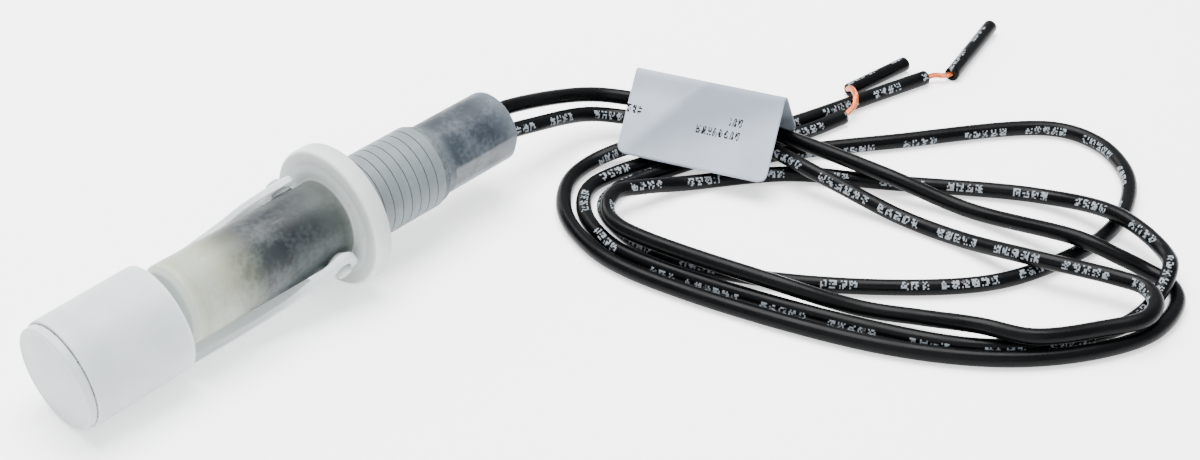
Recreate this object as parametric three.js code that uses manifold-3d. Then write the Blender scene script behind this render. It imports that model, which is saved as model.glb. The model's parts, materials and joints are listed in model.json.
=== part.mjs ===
// Side-mounted float switch: a reed switch in a closed stem, a hinged float with a magnet, two flying leads.
// Millimetres. Origin: centre of the flange's seating face. +X runs along the thread to the leads, +Z is up.
import * as THREE from 'three';
import { mergeVertices } from 'three/addons/utils/BufferGeometryUtils.js';
import Module from 'manifold-3d';

const wasm = await Module();
wasm.setup();
const { Manifold, Mesh: SolidMesh } = wasm;

// ---- driving sizes -------------------------------------------------------------------------------
const ROUND = 48; // facets of a large round piece
const FINE_ROUND = 24; // facets of a small round piece
const FIT = 0.15; // clearance between two pieces that are pushed or potted together
const RUNNING = 0.3; // clearance between pieces that turn past each other
const OVERCUT = 1; // how far a cutting tool reaches past the piece
const LUG_STEPS = 16; // facets round a lug

const flange = { radius: 12.4, thickness: 3.7, edge: 0.7 };
const stem = { radius: 7.05, length: 33.1, chamfer: 0.9, bore: 5.55, tipWall: 1.5 };
const thread = {
  radius: 8.0, root: 7.15, pitch: 2.0, length: 18.5, crest: 1.15, base: 1.75, buried: 0.3,
  collar: 0.8, collarStep: 0.05,
};
const tail = { radius: 6.55, length: 17.1, edge: 0.5, flatDepth: 0.45, flatTurn: 16, flatStart: 2.0 };
const pivot = { fromFlange: 3.8, pinRadius: 1.4, pinReach: 0.7, bossRadius: 2.1, bossGap: 0.4 };
const float = {
  sideGap: 1.05, armWall: 1.3, capLength: 19.9, stemGap: 1.2, wall: 1.5, lugRadius: 3.1,
  floorBackset: 2.8, discInset: 0.4, discLip: 1.5, discEdge: 0.5, spigot: 3.2, spigotWall: 1.4,
};
const arm = { nearLug: [0.14, 1.9], slope: [0.28, 0.2], low: [0.6, -2.4], capEnd: -4.8 };
const magnet = { radius: 5.0, length: 5.0, holderFloor: 1.0 };
const reed = { radius: 1.15, length: 14.0, leadRadius: 0.3, frontLead: 2.4, rearLead: 4.5, taper: 0.9 };
const joint = { length: 2.0, radius: 0.8 };
const wire = { radius: 1.4, core: 0.55, strip: 3.0, sides: 8, steps: 80, offset: 1.75 };
const potting = { length: 5.0, recess: 0.6 };
const label = {
  length: 28.4, corner: [53.2, -13.6], turn: 20.9, footZ: -8.6, rise: 13.0, drop: 13.3,
  frontRun: 11.0, backRun: 8.9, inset: 0.28, foldInset: 0.45,
};
const roll = 30; // degrees the probe has rolled about its own axis, its near side down

// ---- sizes worked out from them --------------------------------------------------------------------
const flangeFrontX = -flange.thickness;
const stemTipX = flangeFrontX - stem.length;
const boreTipX = stemTipX + stem.tipWall;
const channelRadius = stem.radius + float.sideGap;
const floatRadius = channelRadius + float.armWall;
const discRadius = floatRadius - float.discInset;
const pinTip = floatRadius + pivot.pinReach;
const bossFace = channelRadius - pivot.bossGap;
const tailEndX = thread.length + tail.length;
const pivotX = flangeFrontX - pivot.fromFlange;
const capRearX = stemTipX - float.stemGap;
const capFrontX = capRearX - float.capLength;
const surfaceZ = -flange.radius; // what the switch lies on
const noseDrop = flange.radius - floatRadius;
const rollAngle = THREE.MathUtils.degToRad(roll);
const droop = Math.asin(noseDrop / ((pivotX - capFrontX) * Math.cos(rollAngle)));

// ---- colours -----------------------------------------------------------------------------------------
const colour = (hex, roughness = 0.5, metalness = 0) =>
  new THREE.MeshStandardMaterial({ color: hex, roughness, metalness });
const paint = {
  stem: colour(0xc9d0ce, 0.4),
  float: colour(0xe9eeee, 0.4),
  resin: colour(0x26282b, 0.5),
  magnet: colour(0x3b3c3f, 0.6),
  glass: colour(0xcfe0d8, 0.1),
  blade: colour(0xb9b6ae, 0.3, 0.9),
  solder: colour(0xb4b6ba, 0.35, 0.9),
  insulation: colour(0x17181a, 0.4),
  copper: colour(0xc8703c, 0.35, 0.9),
  paper: colour(0xe4e8ee, 0.8),
};

// ---- shape helpers -----------------------------------------------------------------------------------
const points2 = (pairs) => pairs.map(([x, y]) => new THREE.Vector2(x, y));

/** A solid of revolution about X. The profile is [radius, x] pairs that start and end on the axis. */
function turned(profile, facets = ROUND) {
  const geometry = new THREE.LatheGeometry(points2(profile), facets);
  return geometry.rotateZ(-Math.PI / 2);
}

const rod = (radius, fromX, toX, facets = FINE_ROUND) =>
  turned([[0, fromX], [radius, fromX], [radius, toX], [0, toX]], facets);

/** A closed tube about X: the profile closes on itself. */
const tubeAboutX = (outer, inner, fromX, toX, facets = ROUND) =>
  turned([[inner, fromX], [outer, fromX], [outer, toX], [inner, toX], [inner, fromX]], facets);

/** A rod along Y at (x, z), from one y to another. */
const rodAlongY = (radius, x, z, fromY, toY, facets = FINE_ROUND) =>
  rod(radius, fromY, toY, facets).rotateZ(Math.PI / 2).translate(x, 0, z);

/** An outline in x and z, pushed out along Y over the whole width. */
function slabAlongY(outline, width) {
  const shape = new THREE.Shape(points2(outline));
  const geometry = new THREE.ExtrudeGeometry(shape, { depth: width, bevelEnabled: false });
  return geometry.rotateX(Math.PI / 2).translate(0, width / 2, 0);
}

/** three.js geometry to a manifold-3d solid. */
function toSolid(geometry) {
  const bare = geometry.index ? geometry.toNonIndexed() : geometry.clone();
  bare.deleteAttribute('normal');
  bare.deleteAttribute('uv');
  const merged = mergeVertices(bare, 1e-4);
  const solid = new Manifold(new SolidMesh({
    numProp: 3,
    vertProperties: new Float32Array(merged.attributes.position.array),
    triVerts: new Uint32Array(merged.index.array),
  }));
  return solid.volume() < 0 ? toSolid(flipped(merged)) : solid;
}

/** The same surface with its faces turned round. */
function flipped(geometry) {
  const index = geometry.index.array;
  for (let i = 0; i < index.length; i += 3) {
    [index[i], index[i + 1]] = [index[i + 1], index[i]];
  }
  return geometry;
}

/** A manifold-3d solid back to three.js geometry. */
function toGeometry(solid) {
  const mesh = solid.getMesh();
  const geometry = new THREE.BufferGeometry();
  geometry.setAttribute('position', new THREE.BufferAttribute(new Float32Array(mesh.vertProperties), 3));
  geometry.setIndex(new THREE.BufferAttribute(new Uint32Array(mesh.triVerts), 1));
  geometry.computeVertexNormals();
  return geometry;
}

const union = (...geometries) => Manifold.union(geometries.map(toSolid));

/** A named piece. Takes a geometry or a solid. */
function piece(name, shape, material) {
  const geometry = shape.getMesh ? toGeometry(shape) : toGeometry(toSolid(shape));
  const mesh = new THREE.Mesh(geometry, material);
  mesh.name = name;
  return mesh;
}

// ---- stem, flange, thread and tail: one moulding -----------------------------------------------------
/** One ridge of trapezoid section that winds round X, from before the thread to past its end. */
function threadRidge() {
  const stepsPerTurn = ROUND;
  const turns = Math.ceil(thread.length / thread.pitch) + 1;
  const foot = thread.root - thread.buried;
  const section = [
    [-thread.base / 2, foot], [-thread.base / 2, thread.root],
    [-thread.crest / 2, thread.radius], [thread.crest / 2, thread.radius],
    [thread.base / 2, thread.root], [thread.base / 2, foot],
  ];
  const sides = section.length;
  const positions = [];
  const triangles = [];
  for (let step = 0; step <= turns * stepsPerTurn; step += 1) {
    const angle = (step / stepsPerTurn) * 2 * Math.PI;
    const shift = (step / stepsPerTurn) * thread.pitch - thread.pitch / 2;
    for (const [along, radius] of section) {
      positions.push(along + shift, radius * Math.cos(angle), radius * Math.sin(angle));
    }
    if (step === 0) continue;
    const row = step * sides;
    for (let side = 0; side < sides; side += 1) {
      const next = (side + 1) % sides;
      triangles.push(row + side, row + next, row + side - sides);
      triangles.push(row + next, row + next - sides, row + side - sides);
    }
  }
  const last = turns * stepsPerTurn * sides;
  for (let side = 1; side < sides - 1; side += 1) {
    triangles.push(0, side, side + 1);
    triangles.push(last, last + side + 1, last + side);
  }
  const geometry = new THREE.BufferGeometry();
  geometry.setAttribute('position', new THREE.Float32BufferAttribute(positions, 3));
  geometry.setIndex(triangles);
  return geometry;
}

function stemBody() {
  const { edge } = flange;
  const collarRadius = thread.radius + thread.collarStep;
  const core = turned([
    [0, stemTipX], [stem.radius - stem.chamfer, stemTipX], [stem.radius, stemTipX + stem.chamfer],
    [stem.radius, flangeFrontX], [flange.radius - edge, flangeFrontX], [flange.radius, flangeFrontX + edge],
    [flange.radius, -edge], [flange.radius - edge, 0], [collarRadius, 0], [collarRadius, thread.collar],
    [thread.root, thread.collar], [thread.root, thread.length],
    [tail.radius, thread.length + (thread.root - tail.radius)], [tail.radius, tailEndX - tail.edge],
    [tail.radius - tail.edge, tailEndX], [0, tailEndX],
  ]);
  const threadSpan = tubeAboutX(thread.radius + OVERCUT, thread.root - OVERCUT, thread.collar, thread.length);
  const ridge = toSolid(threadRidge()).intersect(toSolid(threadSpan));
  const bosses = rodAlongY(pivot.bossRadius, pivotX, 0, -bossFace, bossFace);
  const pins = rodAlongY(pivot.pinRadius, pivotX, 0, -pinTip, pinTip);
  const bore = rod(stem.bore, boreTipX, tailEndX + OVERCUT, ROUND);
  const flatX = thread.length + tail.flatStart;
  const flatOutline = [
    [flatX, -tail.radius - OVERCUT], [tailEndX + OVERCUT, -tail.radius - OVERCUT],
    [tailEndX + OVERCUT, -tail.radius + tail.flatDepth], [flatX, -tail.radius + tail.flatDepth],
  ];
  const flat = slabAlongY(flatOutline, 4 * tail.radius)
    .rotateX(-Math.PI / 2 - THREE.MathUtils.degToRad(tail.flatTurn));
  return union(core, bosses, pins).add(ridge).subtract(toSolid(bore)).subtract(toSolid(flat));
}

// ---- float: cap, trough and two arms with lugs on the pins --------------------------------------------
/**
 * Side outline of the trough and its arms: what is left of the shell when seen along the pins.
 * The top edge falls from the lug to the cap through the points of `arm`: a share of the arm's
 * length forward of the pivot, and the edge's height there.
 */
function troughOutline() {
  const bottom = -floatRadius - OVERCUT;
  const floorEndX = pivotX - float.floorBackset;
  const armSpan = pivotX - capRearX;
  const lug = new THREE.Path();
  const lugTop = THREE.MathUtils.degToRad(118);
  const lugBottom = THREE.MathUtils.degToRad(-155);
  lug.absarc(pivotX, 0, float.lugRadius, lugBottom, lugTop);
  const topEdge = [arm.nearLug, arm.slope, arm.low].map(([share, z]) => [pivotX - share * armSpan, z]);
  return [
    [capRearX - OVERCUT, bottom], [floorEndX, bottom],
    ...lug.getPoints(LUG_STEPS).map((point) => point.toArray()),
    ...topEdge, [capRearX - OVERCUT, arm.capEnd],
  ];
}

function floatShell() {
  const lugEndX = pivotX + float.lugRadius;
  const cap = rod(floatRadius, capFrontX + float.discLip + FIT, capRearX, ROUND);
  const trough = toSolid(rod(floatRadius, capRearX - FIT, lugEndX + OVERCUT, ROUND))
    .intersect(toSolid(slabAlongY(troughOutline(), 3 * floatRadius)));
  const channel = rod(channelRadius, capRearX, lugEndX + 2 * OVERCUT, ROUND);
  const openTop = new THREE.BoxGeometry(lugEndX - capRearX, 2 * channelRadius, floatRadius + OVERCUT)
    .translate((lugEndX + capRearX) / 2, 0, (floatRadius + OVERCUT) / 2);
  const hollow = rod(floatRadius - float.wall, capFrontX - OVERCUT, capRearX - float.wall, ROUND);
  const holeEnd = pinTip + OVERCUT;
  const pinHole = rodAlongY(pivot.pinRadius + FIT, pivotX, 0, -holeEnd, holeEnd);
  const roomFace = bossFace + RUNNING;
  const bossRoom = rodAlongY(pivot.bossRadius + RUNNING, pivotX, 0, -roomFace, roomFace);
  return trough.subtract(union(channel, openTop)).add(toSolid(cap))
    .subtract(union(hollow, pinHole)).subtract(toSolid(bossRoom));
}

function floatEndDisc() {
  const spigotRadius = floatRadius - float.wall - FIT;
  const spigotEndX = capFrontX + float.discLip + float.spigot;
  const recessRadius = spigotRadius - float.spigotWall;
  return turned([
    [0, capFrontX], [discRadius - float.discEdge, capFrontX],
    [discRadius, capFrontX + float.discEdge],
    [discRadius, capFrontX + float.discLip], [spigotRadius, capFrontX + float.discLip],
    [spigotRadius, spigotEndX], [recessRadius, spigotEndX], [recessRadius, capFrontX + float.discLip],
    [0, capFrontX + float.discLip],
  ]);
}

/** A ring magnet against the cap's rear wall. */
function floatMagnet() {
  const rearX = capRearX - float.wall - FIT;
  return tubeAboutX(magnet.radius, magnet.radius / 3, rearX - magnet.length, rearX, FINE_ROUND);
}

/** A cup that holds the magnet: its floor is in front, its open side is against the rear wall. */
function magnetHolder() {
  const rearX = capRearX - float.wall - FIT;
  const floorX = rearX - magnet.length - FIT;
  const frontX = floorX - magnet.holderFloor;
  const outer = floatRadius - float.wall - FIT;
  const inner = magnet.radius + FIT;
  return turned([[0, frontX], [outer, frontX], [outer, rearX], [inner, rearX], [inner, floorX], [0, floorX]]);
}

// ---- what is inside the stem ---------------------------------------------------------------------------
const reedFrontX = boreTipX + reed.frontLead + FIT;
const reedRearX = reedFrontX + reed.length;
const solderX = reedRearX + reed.rearLead;
const returnOffset = reed.radius + 2 * FIT + 2 * reed.leadRadius; // how far the return lead passes the glass
const pair = { a: [1, 0.35], b: [-1, -0.35] }; // where the two leads lie in the bore, in y and z

function reedGlass() {
  const neck = reed.leadRadius + FIT;
  return turned([
    [0, reedFrontX], [neck, reedFrontX], [reed.radius, reedFrontX + reed.taper],
    [reed.radius, reedRearX - reed.taper], [neck, reedRearX], [0, reedRearX],
  ], FINE_ROUND);
}

/** The glass tube with a blade lead at each end, and the wire that brings the front lead back. */
function reedSwitch() {
  const bladeFrontX = boreTipX + FIT;
  const bladeRearX = solderX - FIT;
  return [
    piece('reed_glass', reedGlass(), paint.glass),
    piece('reed_lead_front', rod(reed.leadRadius, bladeFrontX, reedFrontX - FIT), paint.blade),
    piece('reed_lead_rear', rod(reed.leadRadius, reedRearX + FIT, bladeRearX), paint.blade),
    piece('return_lead', rod(reed.leadRadius, bladeFrontX + OVERCUT, bladeRearX)
      .translate(0, returnOffset, 0), paint.blade),
  ];
}

/** One lead's last stretch in the bore: solder joint, bared core, round insulation. */
function innerLead(name) {
  const [y, z] = pair[name].map((share) => share * wire.offset);
  const coreX = solderX + joint.length + FIT;
  const insulationX = coreX + wire.strip;
  const rearX = tailEndX - potting.recess;
  return [
    piece(`solder_joint_${name}`, rod(joint.radius, solderX, solderX + joint.length), paint.solder),
    piece(`inner_core_${name}`, rod(wire.core, coreX, insulationX - FIT), paint.copper),
    piece(`inner_wire_${name}`, rod(wire.radius, insulationX, rearX), paint.insulation),
  ].map((mesh) => {
    mesh.geometry.translate(0, y, z);
    return mesh;
  });
}

/** The resin plug that closes the tail, with a hole for each lead. */
function tailPotting() {
  const rearX = tailEndX - potting.recess;
  const frontX = rearX - potting.length;
  const holes = Object.values(pair).map(([y, z]) =>
    rod(wire.radius + FIT, frontX - OVERCUT, tailEndX).translate(0, y * wire.offset, z * wire.offset));
  return toSolid(rod(stem.bore - FIT, frontX, rearX, ROUND)).subtract(union(...holes));
}

// ---- free leads: route points in millimetres, chosen by hand -------------------------------------------
const routes = {
  a: [
    [35.3, 1.2, 1.4], [40.5, 1.2, 1.0], [59.0, -0.6, -4.0], [65.0, -5.4, -5.4], [75.6, -25.5, -7.5],
    [80.0, -53.5, -8.0], [84.2, -69.5, -10.6], [86.3, -90.5, -7.8],
    [87.8, -97.0, -8.9], [89.8, -102.2, -10.7], [89.4, -106.5, -10.95], [86.0, -110.2, -10.95],
    [75.0, -111.5, -10.95], [57.5, -101.5, -10.95], [43.2, -81.2, -10.95], [30.8, -37.2, -10.95],
    [32.0, -25.5, -10.95], [36.6, -16.5, -10.95], [44.5, -10.8, -10.9], [53.0, -10.3, -10.7],
    [58.6, -14.6, -8.8], [61.2, -20.0, -7.7], [64.2, -25.2, -8.0], [69.4, -29.4, -10.6], [77.0, -33.9, -10.9],
    [92.5, -45.4, -10.95], [117.4, -65.8, -10.95], [118.6, -75.1, -10.95], [113.3, -84.0, -10.95],
    [105.0, -89.0, -10.95], [95.7, -91.1, -10.95], [84.2, -90.0, -10.95], [67.7, -83.2, -10.95],
    [43.6, -54.0, -10.95], [37.8, -34.0, -10.95], [41.6, -21.6, -10.95], [46.5, -19.4, -10.95],
    [61.0, -22.6, -10.95], [85.0, -32.2, -10.95], [94.5, -34.4, -10.95],
  ],
  b: [
    [35.3, -1.2, -1.4], [43.5, -2.1, -2.8], [57.0, -2.5, -6.6], [62.0, -5.6, -7.9], [71.8, -30.0, -7.7],
    [71.9, -46.3, -7.9], [74.5, -61.8, -10.7], [76.0, -73.4, -10.7], [76.2, -87.5, -7.8],
    [80.7, -101.5, -7.6], [81.2, -106.2, -7.4], [78.8, -109.8, -7.4], [74.3, -110.8, -7.5],
    [67.5, -106.8, -7.9], [58.3, -99.6, -8.0],
    [54.9, -91.6, -8.0], [52.0, -82.2, -9.6], [48.1, -72.9, -10.3], [42.2, -61.2, -8.2],
    [36.0, -29.8, -7.8], [38.7, -24.8, -7.8], [43.4, -22.7, -7.8],
    [49.0, -24.2, -8.8], [56.5, -27.0, -10.6], [72.3, -38.9, -10.95], [81.6, -53.0, -10.95],
    [96.1, -76.4, -10.4], [96.9, -91.5, -7.8], [92.8, -103.4, -8.0],
    [88.8, -106.6, -7.8], [80.0, -107.8, -10.6], [69.5, -105.3, -10.9], [52.8, -91.6, -10.95],
    [34.2, -36.0, -10.95], [35.2, -26.0, -10.95], [39.4, -18.6, -10.95], [46.0, -15.0, -10.95],
    [71.0, -22.6, -10.95], [82.0, -27.4, -10.95], [116.5, -37.4, -10.95],
  ],
};

const ends = {
  a: {
    strands: [
      [94.8, -34.5, -10.95], [97.4, -34.5, -9.8], [98.9, -33.6, -8.7], [100.3, -31.6, -8.6],
      [101.4, -30.0, -9.8], [102.2, -29.4, -10.9],
    ],
    slugTo: [118.0, -31.4, -10.95],
  },
  b: {
    strands: [[116.8, -37.5, -10.95], [118.4, -38.4, -10.9], [119.3, -39.7, -10.9], [120.4, -40.6, -10.95]],
    slugTo: [141.5, -35.5, -10.95],
  },
};

/** A closed tube of a few sides along a smooth curve through the points. */
function tubeAlong(points, radius, steps, sides = wire.sides) {
  const path = new THREE.CatmullRomCurve3(points.map((point) => new THREE.Vector3(...point)));
  const section = new THREE.Shape(new THREE.Path().absarc(0, 0, radius, 0, 2 * Math.PI).getPoints(sides)
    .slice(0, sides));
  return new THREE.ExtrudeGeometry(section, { steps, extrudePath: path, bevelEnabled: false });
}

function leads() {
  const group = new THREE.Group();
  for (const [name, route] of Object.entries(routes)) {
    const { strands, slugTo } = ends[name];
    const slugEnd = new THREE.Vector3(...slugTo);
    const slugStart = new THREE.Vector3(...strands.at(-1));
    slugStart.addScaledVector(slugEnd.clone().sub(slugStart).normalize(), RUNNING);
    group.add(piece(`lead_${name}`, tubeAlong(route, wire.radius, wire.steps), paint.insulation));
    group.add(piece(`bare_strands_${name}`, tubeAlong(strands, wire.core, 12), paint.copper));
    group.add(piece(`insulation_slug_${name}`, tubeAlong([slugStart.toArray(), slugTo], wire.radius, 1),
      paint.insulation));
  }
  return group;
}

/** A strip of paper folded over the bundle of leads, like a tent card. */
function paperLabel() {
  const [footX, footY] = label.corner;
  const topZ = label.footZ + label.rise;
  const width = label.frontRun + label.backRun;
  const backZ = topZ - label.drop;
  const geometry = slabAlongY([
    [0, label.footZ], [label.frontRun, topZ], [width, backZ], [width - label.inset, backZ],
    [label.frontRun, topZ - label.foldInset], [label.inset, label.footZ],
  ], label.length);
  return geometry.translate(0, -label.length / 2, 0)
    .rotateZ(THREE.MathUtils.degToRad(label.turn))
    .translate(footX, footY, 0);
}

// ---- assembly --------------------------------------------------------------------------------------------
const floatGroup = new THREE.Group();
floatGroup.add(
  piece('float_shell', floatShell(), paint.float),
  piece('float_end_disc', floatEndDisc(), paint.float),
  piece('float_magnet', floatMagnet(), paint.magnet),
  piece('magnet_holder', magnetHolder(), paint.float),
);
floatGroup.children.forEach((mesh) => mesh.geometry.translate(-pivotX, 0, 0));
floatGroup.position.x = pivotX;
floatGroup.rotation.y = -droop;

const probe = new THREE.Group();
probe.add(
  piece('stem_body', stemBody(), paint.stem),
  ...reedSwitch(), ...innerLead('a'), ...innerLead('b'),
  piece('tail_potting', tailPotting(), paint.resin),
  floatGroup,
);
probe.rotation.x = rollAngle;

const floatSwitch = new THREE.Group();
floatSwitch.add(probe, leads(), piece('folded_label', paperLabel(), paint.paper));

export default floatSwitch;
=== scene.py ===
import json
import math
from functools import partial, reduce

import bmesh
import bpy
from mathutils import Matrix, Vector

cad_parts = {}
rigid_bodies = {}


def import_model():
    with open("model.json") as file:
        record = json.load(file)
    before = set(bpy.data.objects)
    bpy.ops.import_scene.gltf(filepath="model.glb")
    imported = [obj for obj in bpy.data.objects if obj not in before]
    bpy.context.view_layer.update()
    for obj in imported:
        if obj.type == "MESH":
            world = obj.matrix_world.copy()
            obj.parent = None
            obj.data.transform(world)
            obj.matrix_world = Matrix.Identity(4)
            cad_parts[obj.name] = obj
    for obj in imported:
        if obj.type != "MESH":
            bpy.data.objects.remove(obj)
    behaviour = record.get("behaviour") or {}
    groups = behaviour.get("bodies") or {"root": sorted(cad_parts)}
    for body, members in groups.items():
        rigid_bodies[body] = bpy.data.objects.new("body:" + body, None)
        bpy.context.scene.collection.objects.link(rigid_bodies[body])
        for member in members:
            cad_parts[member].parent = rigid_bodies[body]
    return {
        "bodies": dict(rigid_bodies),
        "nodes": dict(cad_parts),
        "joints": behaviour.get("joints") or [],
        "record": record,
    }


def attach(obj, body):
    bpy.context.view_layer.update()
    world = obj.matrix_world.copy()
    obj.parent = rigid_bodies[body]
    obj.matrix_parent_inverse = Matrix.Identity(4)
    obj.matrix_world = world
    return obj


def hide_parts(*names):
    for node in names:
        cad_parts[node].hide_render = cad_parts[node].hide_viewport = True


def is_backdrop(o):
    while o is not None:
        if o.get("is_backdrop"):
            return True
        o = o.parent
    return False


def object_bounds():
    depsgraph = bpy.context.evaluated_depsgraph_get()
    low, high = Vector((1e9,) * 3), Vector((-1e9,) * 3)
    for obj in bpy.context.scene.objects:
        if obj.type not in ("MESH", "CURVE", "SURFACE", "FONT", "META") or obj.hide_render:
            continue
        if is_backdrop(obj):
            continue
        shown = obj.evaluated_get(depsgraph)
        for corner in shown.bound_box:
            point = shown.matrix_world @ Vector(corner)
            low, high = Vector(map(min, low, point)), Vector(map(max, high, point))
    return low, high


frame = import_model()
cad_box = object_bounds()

# %% [markdown]
# # A side-mounted float switch
#
# The object is a liquid level switch made for the side of a tank. A hollow plastic stem with a
# flange and a thread screws into the wall. A glass reed switch sits inside the stem, and a float
# with a magnet hangs on two hinge pins beside the flange. When the liquid lifts the float, the
# magnet closes the reed. Two black leads come out of the tail.
#
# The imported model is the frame: every piece below is made where that model says the real piece is.
# Sizes are written in millimetres, as on a drawing, and `MM` turns them into Blender's metres.

# %% Sizes from the drawing
MM = 0.001
ROLL = math.radians(30.0)  # the switch has rolled a little about its own axis
PIVOT_X = -7.5
SURFACE_Z = -12.4  # the table it lies on
STEM = {"front": -36.8, "radius": 7.05, "bore": 5.55, "wall": 1.5, "chamfer": 0.9}
FLANGE = {"front": -3.7, "back": 0.0, "radius": 12.4}
THREAD = {"end": 18.5, "root": 7.15, "crest": 8.0, "pitch": 2.0, "collar": 0.8}
TAIL = {"end": 35.6, "radius": 6.55, "flat_depth": 0.45, "flat_start": 20.5, "flat_turn": 16.0}
FLAT_TURN = math.radians(TAIL["flat_turn"])
FLAT_OUTWARD = Vector((0.0, -math.cos(FLAT_TURN), math.sin(FLAT_TURN)))
PIN = {"radius": 1.4, "tip": 10.1, "boss_radius": 2.1, "boss_face": 7.7}
CAP = {"front": -57.9, "lip": -56.25, "rear": -38.0, "radius": 9.4, "wall": 1.5}
ARM = {"outer": 9.4, "inner": 8.1, "floor_end": -10.3, "lug": 3.1, "hole": 1.55}
WIRE_RADIUS = 1.4
nose_drop = FLANGE["radius"] - CAP["radius"]
droop = math.asin(nose_drop / ((PIVOT_X - CAP["front"]) * math.cos(ROLL)))
print("the float hangs", round(math.degrees(droop), 2), "degrees below the stem's axis")

# %% [markdown]
# ## The camera
#
# A camera first, because everything after it is judged through it. It looks down on the switch
# from the left, with a fairly long lens, so that parallel edges stay nearly parallel. A direction
# is turned into a rotation with `to_track_quat`, which is easier to read than three angles.

# %% Camera
def add_object(name, data):
    """A new object at the origin of the scene."""
    made = bpy.data.objects.new(name, data)
    bpy.context.scene.collection.objects.link(made)
    return made


def aim(thing, place, direction):
    """Puts a camera or a light at a place, looking in a direction."""
    thing.location = place
    thing.rotation_euler = direction.to_track_quat("-Z", "Y").to_euler()


EYE = Vector((-189.28, -231.91, 205.75)) * MM
SIGHT = Vector((0.6017, 0.5510, -0.5783))
lens = bpy.data.cameras.new("camera")
lens.lens = 64.5
lens.sensor_width = 36.0
lens.clip_start = 0.01
lens.clip_end = 10.0
camera = add_object("camera", lens)
aim(camera, EYE, SIGHT)
bpy.context.scene.camera = camera
print("camera is", round(EYE.length / MM), "mm from the flange")

# %% [markdown]
# ## Helpers for meshes
#
# Most pieces of the switch are turned or moulded, so three helpers make nearly all of them: one
# rounds the corners of an outline, one spins an outline about X, and one turns points and faces
# into an object. Outlines are lists of (x, radius). Spinning by hand, and not with a Screw
# modifier, keeps the poles closed and the object at the origin.

# %% Mesh helpers
TURNED_SIDES = 144
CORNER_STEPS = 5
MERGE_DISTANCE = 0.002
roll_matrix = Matrix.Rotation(ROLL, 4, "X")


def hung(pivot_x):
    """The float's place: it droops about the hinge pins and is rolled with the stem."""
    there, back = (Matrix.Translation((x, 0, 0)) for x in (pivot_x, -pivot_x))
    return roll_matrix @ there @ Matrix.Rotation(-droop, 4, "Y") @ back


pivot_matrix = hung(PIVOT_X)


def add_piece(name, points, faces, material, place=roll_matrix, uv=None, glow=None, sharp=None):
    """Points in millimetres become an object at the origin, closed up if sharp gives an angle.
    glow(point) says how much light from behind each point lets through."""
    mesh = bpy.data.meshes.new(name)
    mesh.from_pydata([(place @ Vector(p)) * MM for p in points], [], faces)
    piece = add_object(name, mesh)
    mesh.materials.append(material)
    if uv:
        layer = mesh.uv_layers.new(name="UVMap")
        for corner, value in zip(layer.data, uv):
            corner.uv = value
    if glow:
        values = mesh.attributes.new("glow", "FLOAT", "POINT")
        values.data.foreach_set("value", [glow(Vector(p)) for p in points])
    return close_up(piece, sharp) if sharp else piece


def close_up(piece, sharp):
    """Merges doubles, turns every face outwards and shades all but sharp edges smooth."""
    work = bmesh.new()
    work.from_mesh(piece.data)
    bmesh.ops.remove_doubles(work, verts=work.verts, dist=MERGE_DISTANCE * MM)
    bmesh.ops.recalc_face_normals(work, faces=work.faces)
    work.to_mesh(piece.data)
    work.free()
    piece.data.shade_smooth()
    piece.data.set_sharp_from_angle(angle=math.radians(sharp))
    return piece


def rounded(outline):
    """Outline points are (x, radius) or (x, radius, corner): a corner gives the size of its arc."""
    result = []
    for i, point in enumerate(outline):
        here = Vector(point[:2])
        if len(point) == 2:
            result.append(here)
            continue
        before = Vector(outline[i - 1][:2])
        after = Vector(outline[i + 1][:2])
        start = here + (before - here).normalized() * point[2]
        end = here + (after - here).normalized() * point[2]
        for step in range(CORNER_STEPS + 1):
            t = step / CORNER_STEPS
            result.append(start.lerp(here, t).lerp(here.lerp(end, t), t))
    return result


def spun(outline, sides=TURNED_SIDES):
    """Points and faces of an outline turned about X. An outline point at radius 0 is a pole."""
    points, faces, rings = [], [], []
    for x, radius in outline:
        if radius < 1e-6:
            rings.append([len(points)] * sides)
            points.append((x, 0.0, 0.0))
            continue
        rings.append(list(range(len(points), len(points) + sides)))
        for side in range(sides):
            angle = 2 * math.pi * side / sides
            points.append((x, radius * math.cos(angle), radius * math.sin(angle)))
    for ring, following in zip(rings, rings[1:]):
        for side in range(sides):
            turn = (side + 1) % sides
            corners = [ring[side], ring[turn], following[turn], following[side]]
            faces.append(list(dict.fromkeys(corners)))
    return points, faces


def joined(*shapes):
    """Several (points, faces) as one."""
    points, faces = [], []
    for more_points, more_faces in shapes:
        start = len(points)
        points += list(more_points)
        faces += [[start + index for index in face] for face in more_faces]
    return points, faces


# %% [markdown]
# ## Smooth paths for the leads
#
# A lead is a fixed length of limp wire, so its path is one smooth curve through listed points. A
# centripetal Catmull-Rom curve passes through every point and doesn't swing out between them.
# The points follow each lead from the tail, under the paper label, round its loops on the table,
# over itself in low humps where it crosses, and out to its bared end.

# %% Paths
def smooth_path(points, spacing):
    """Evenly spaced points, in millimetres, on the smooth curve through the given ones."""
    known = [Vector(p) for p in points]
    known = [2 * known[0] - known[1], *known, 2 * known[-1] - known[-2]]
    dense = []
    for p0, p1, p2, p3 in zip(known, known[1:], known[2:], known[3:]):
        d0, d1, d2 = ((q - p).length ** 0.5 for p, q in ((p0, p1), (p1, p2), (p2, p3)))
        t1 = ((p1 - p0) / d0 - (p2 - p0) / (d0 + d1) + (p2 - p1) / d1) * d1
        t2 = ((p2 - p1) / d1 - (p3 - p1) / (d1 + d2) + (p3 - p2) / d2) * d1
        for step in range(SPAN_STEPS):
            t = step / SPAN_STEPS
            curve = (2 * p1 - 2 * p2 + t1 + t2) * t**3 + (3 * p2 - 3 * p1 - 2 * t1 - t2) * t**2
            dense.append(curve + t1 * t + p1)
    dense.append(known[-2])
    return evenly(dense, spacing)


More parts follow.
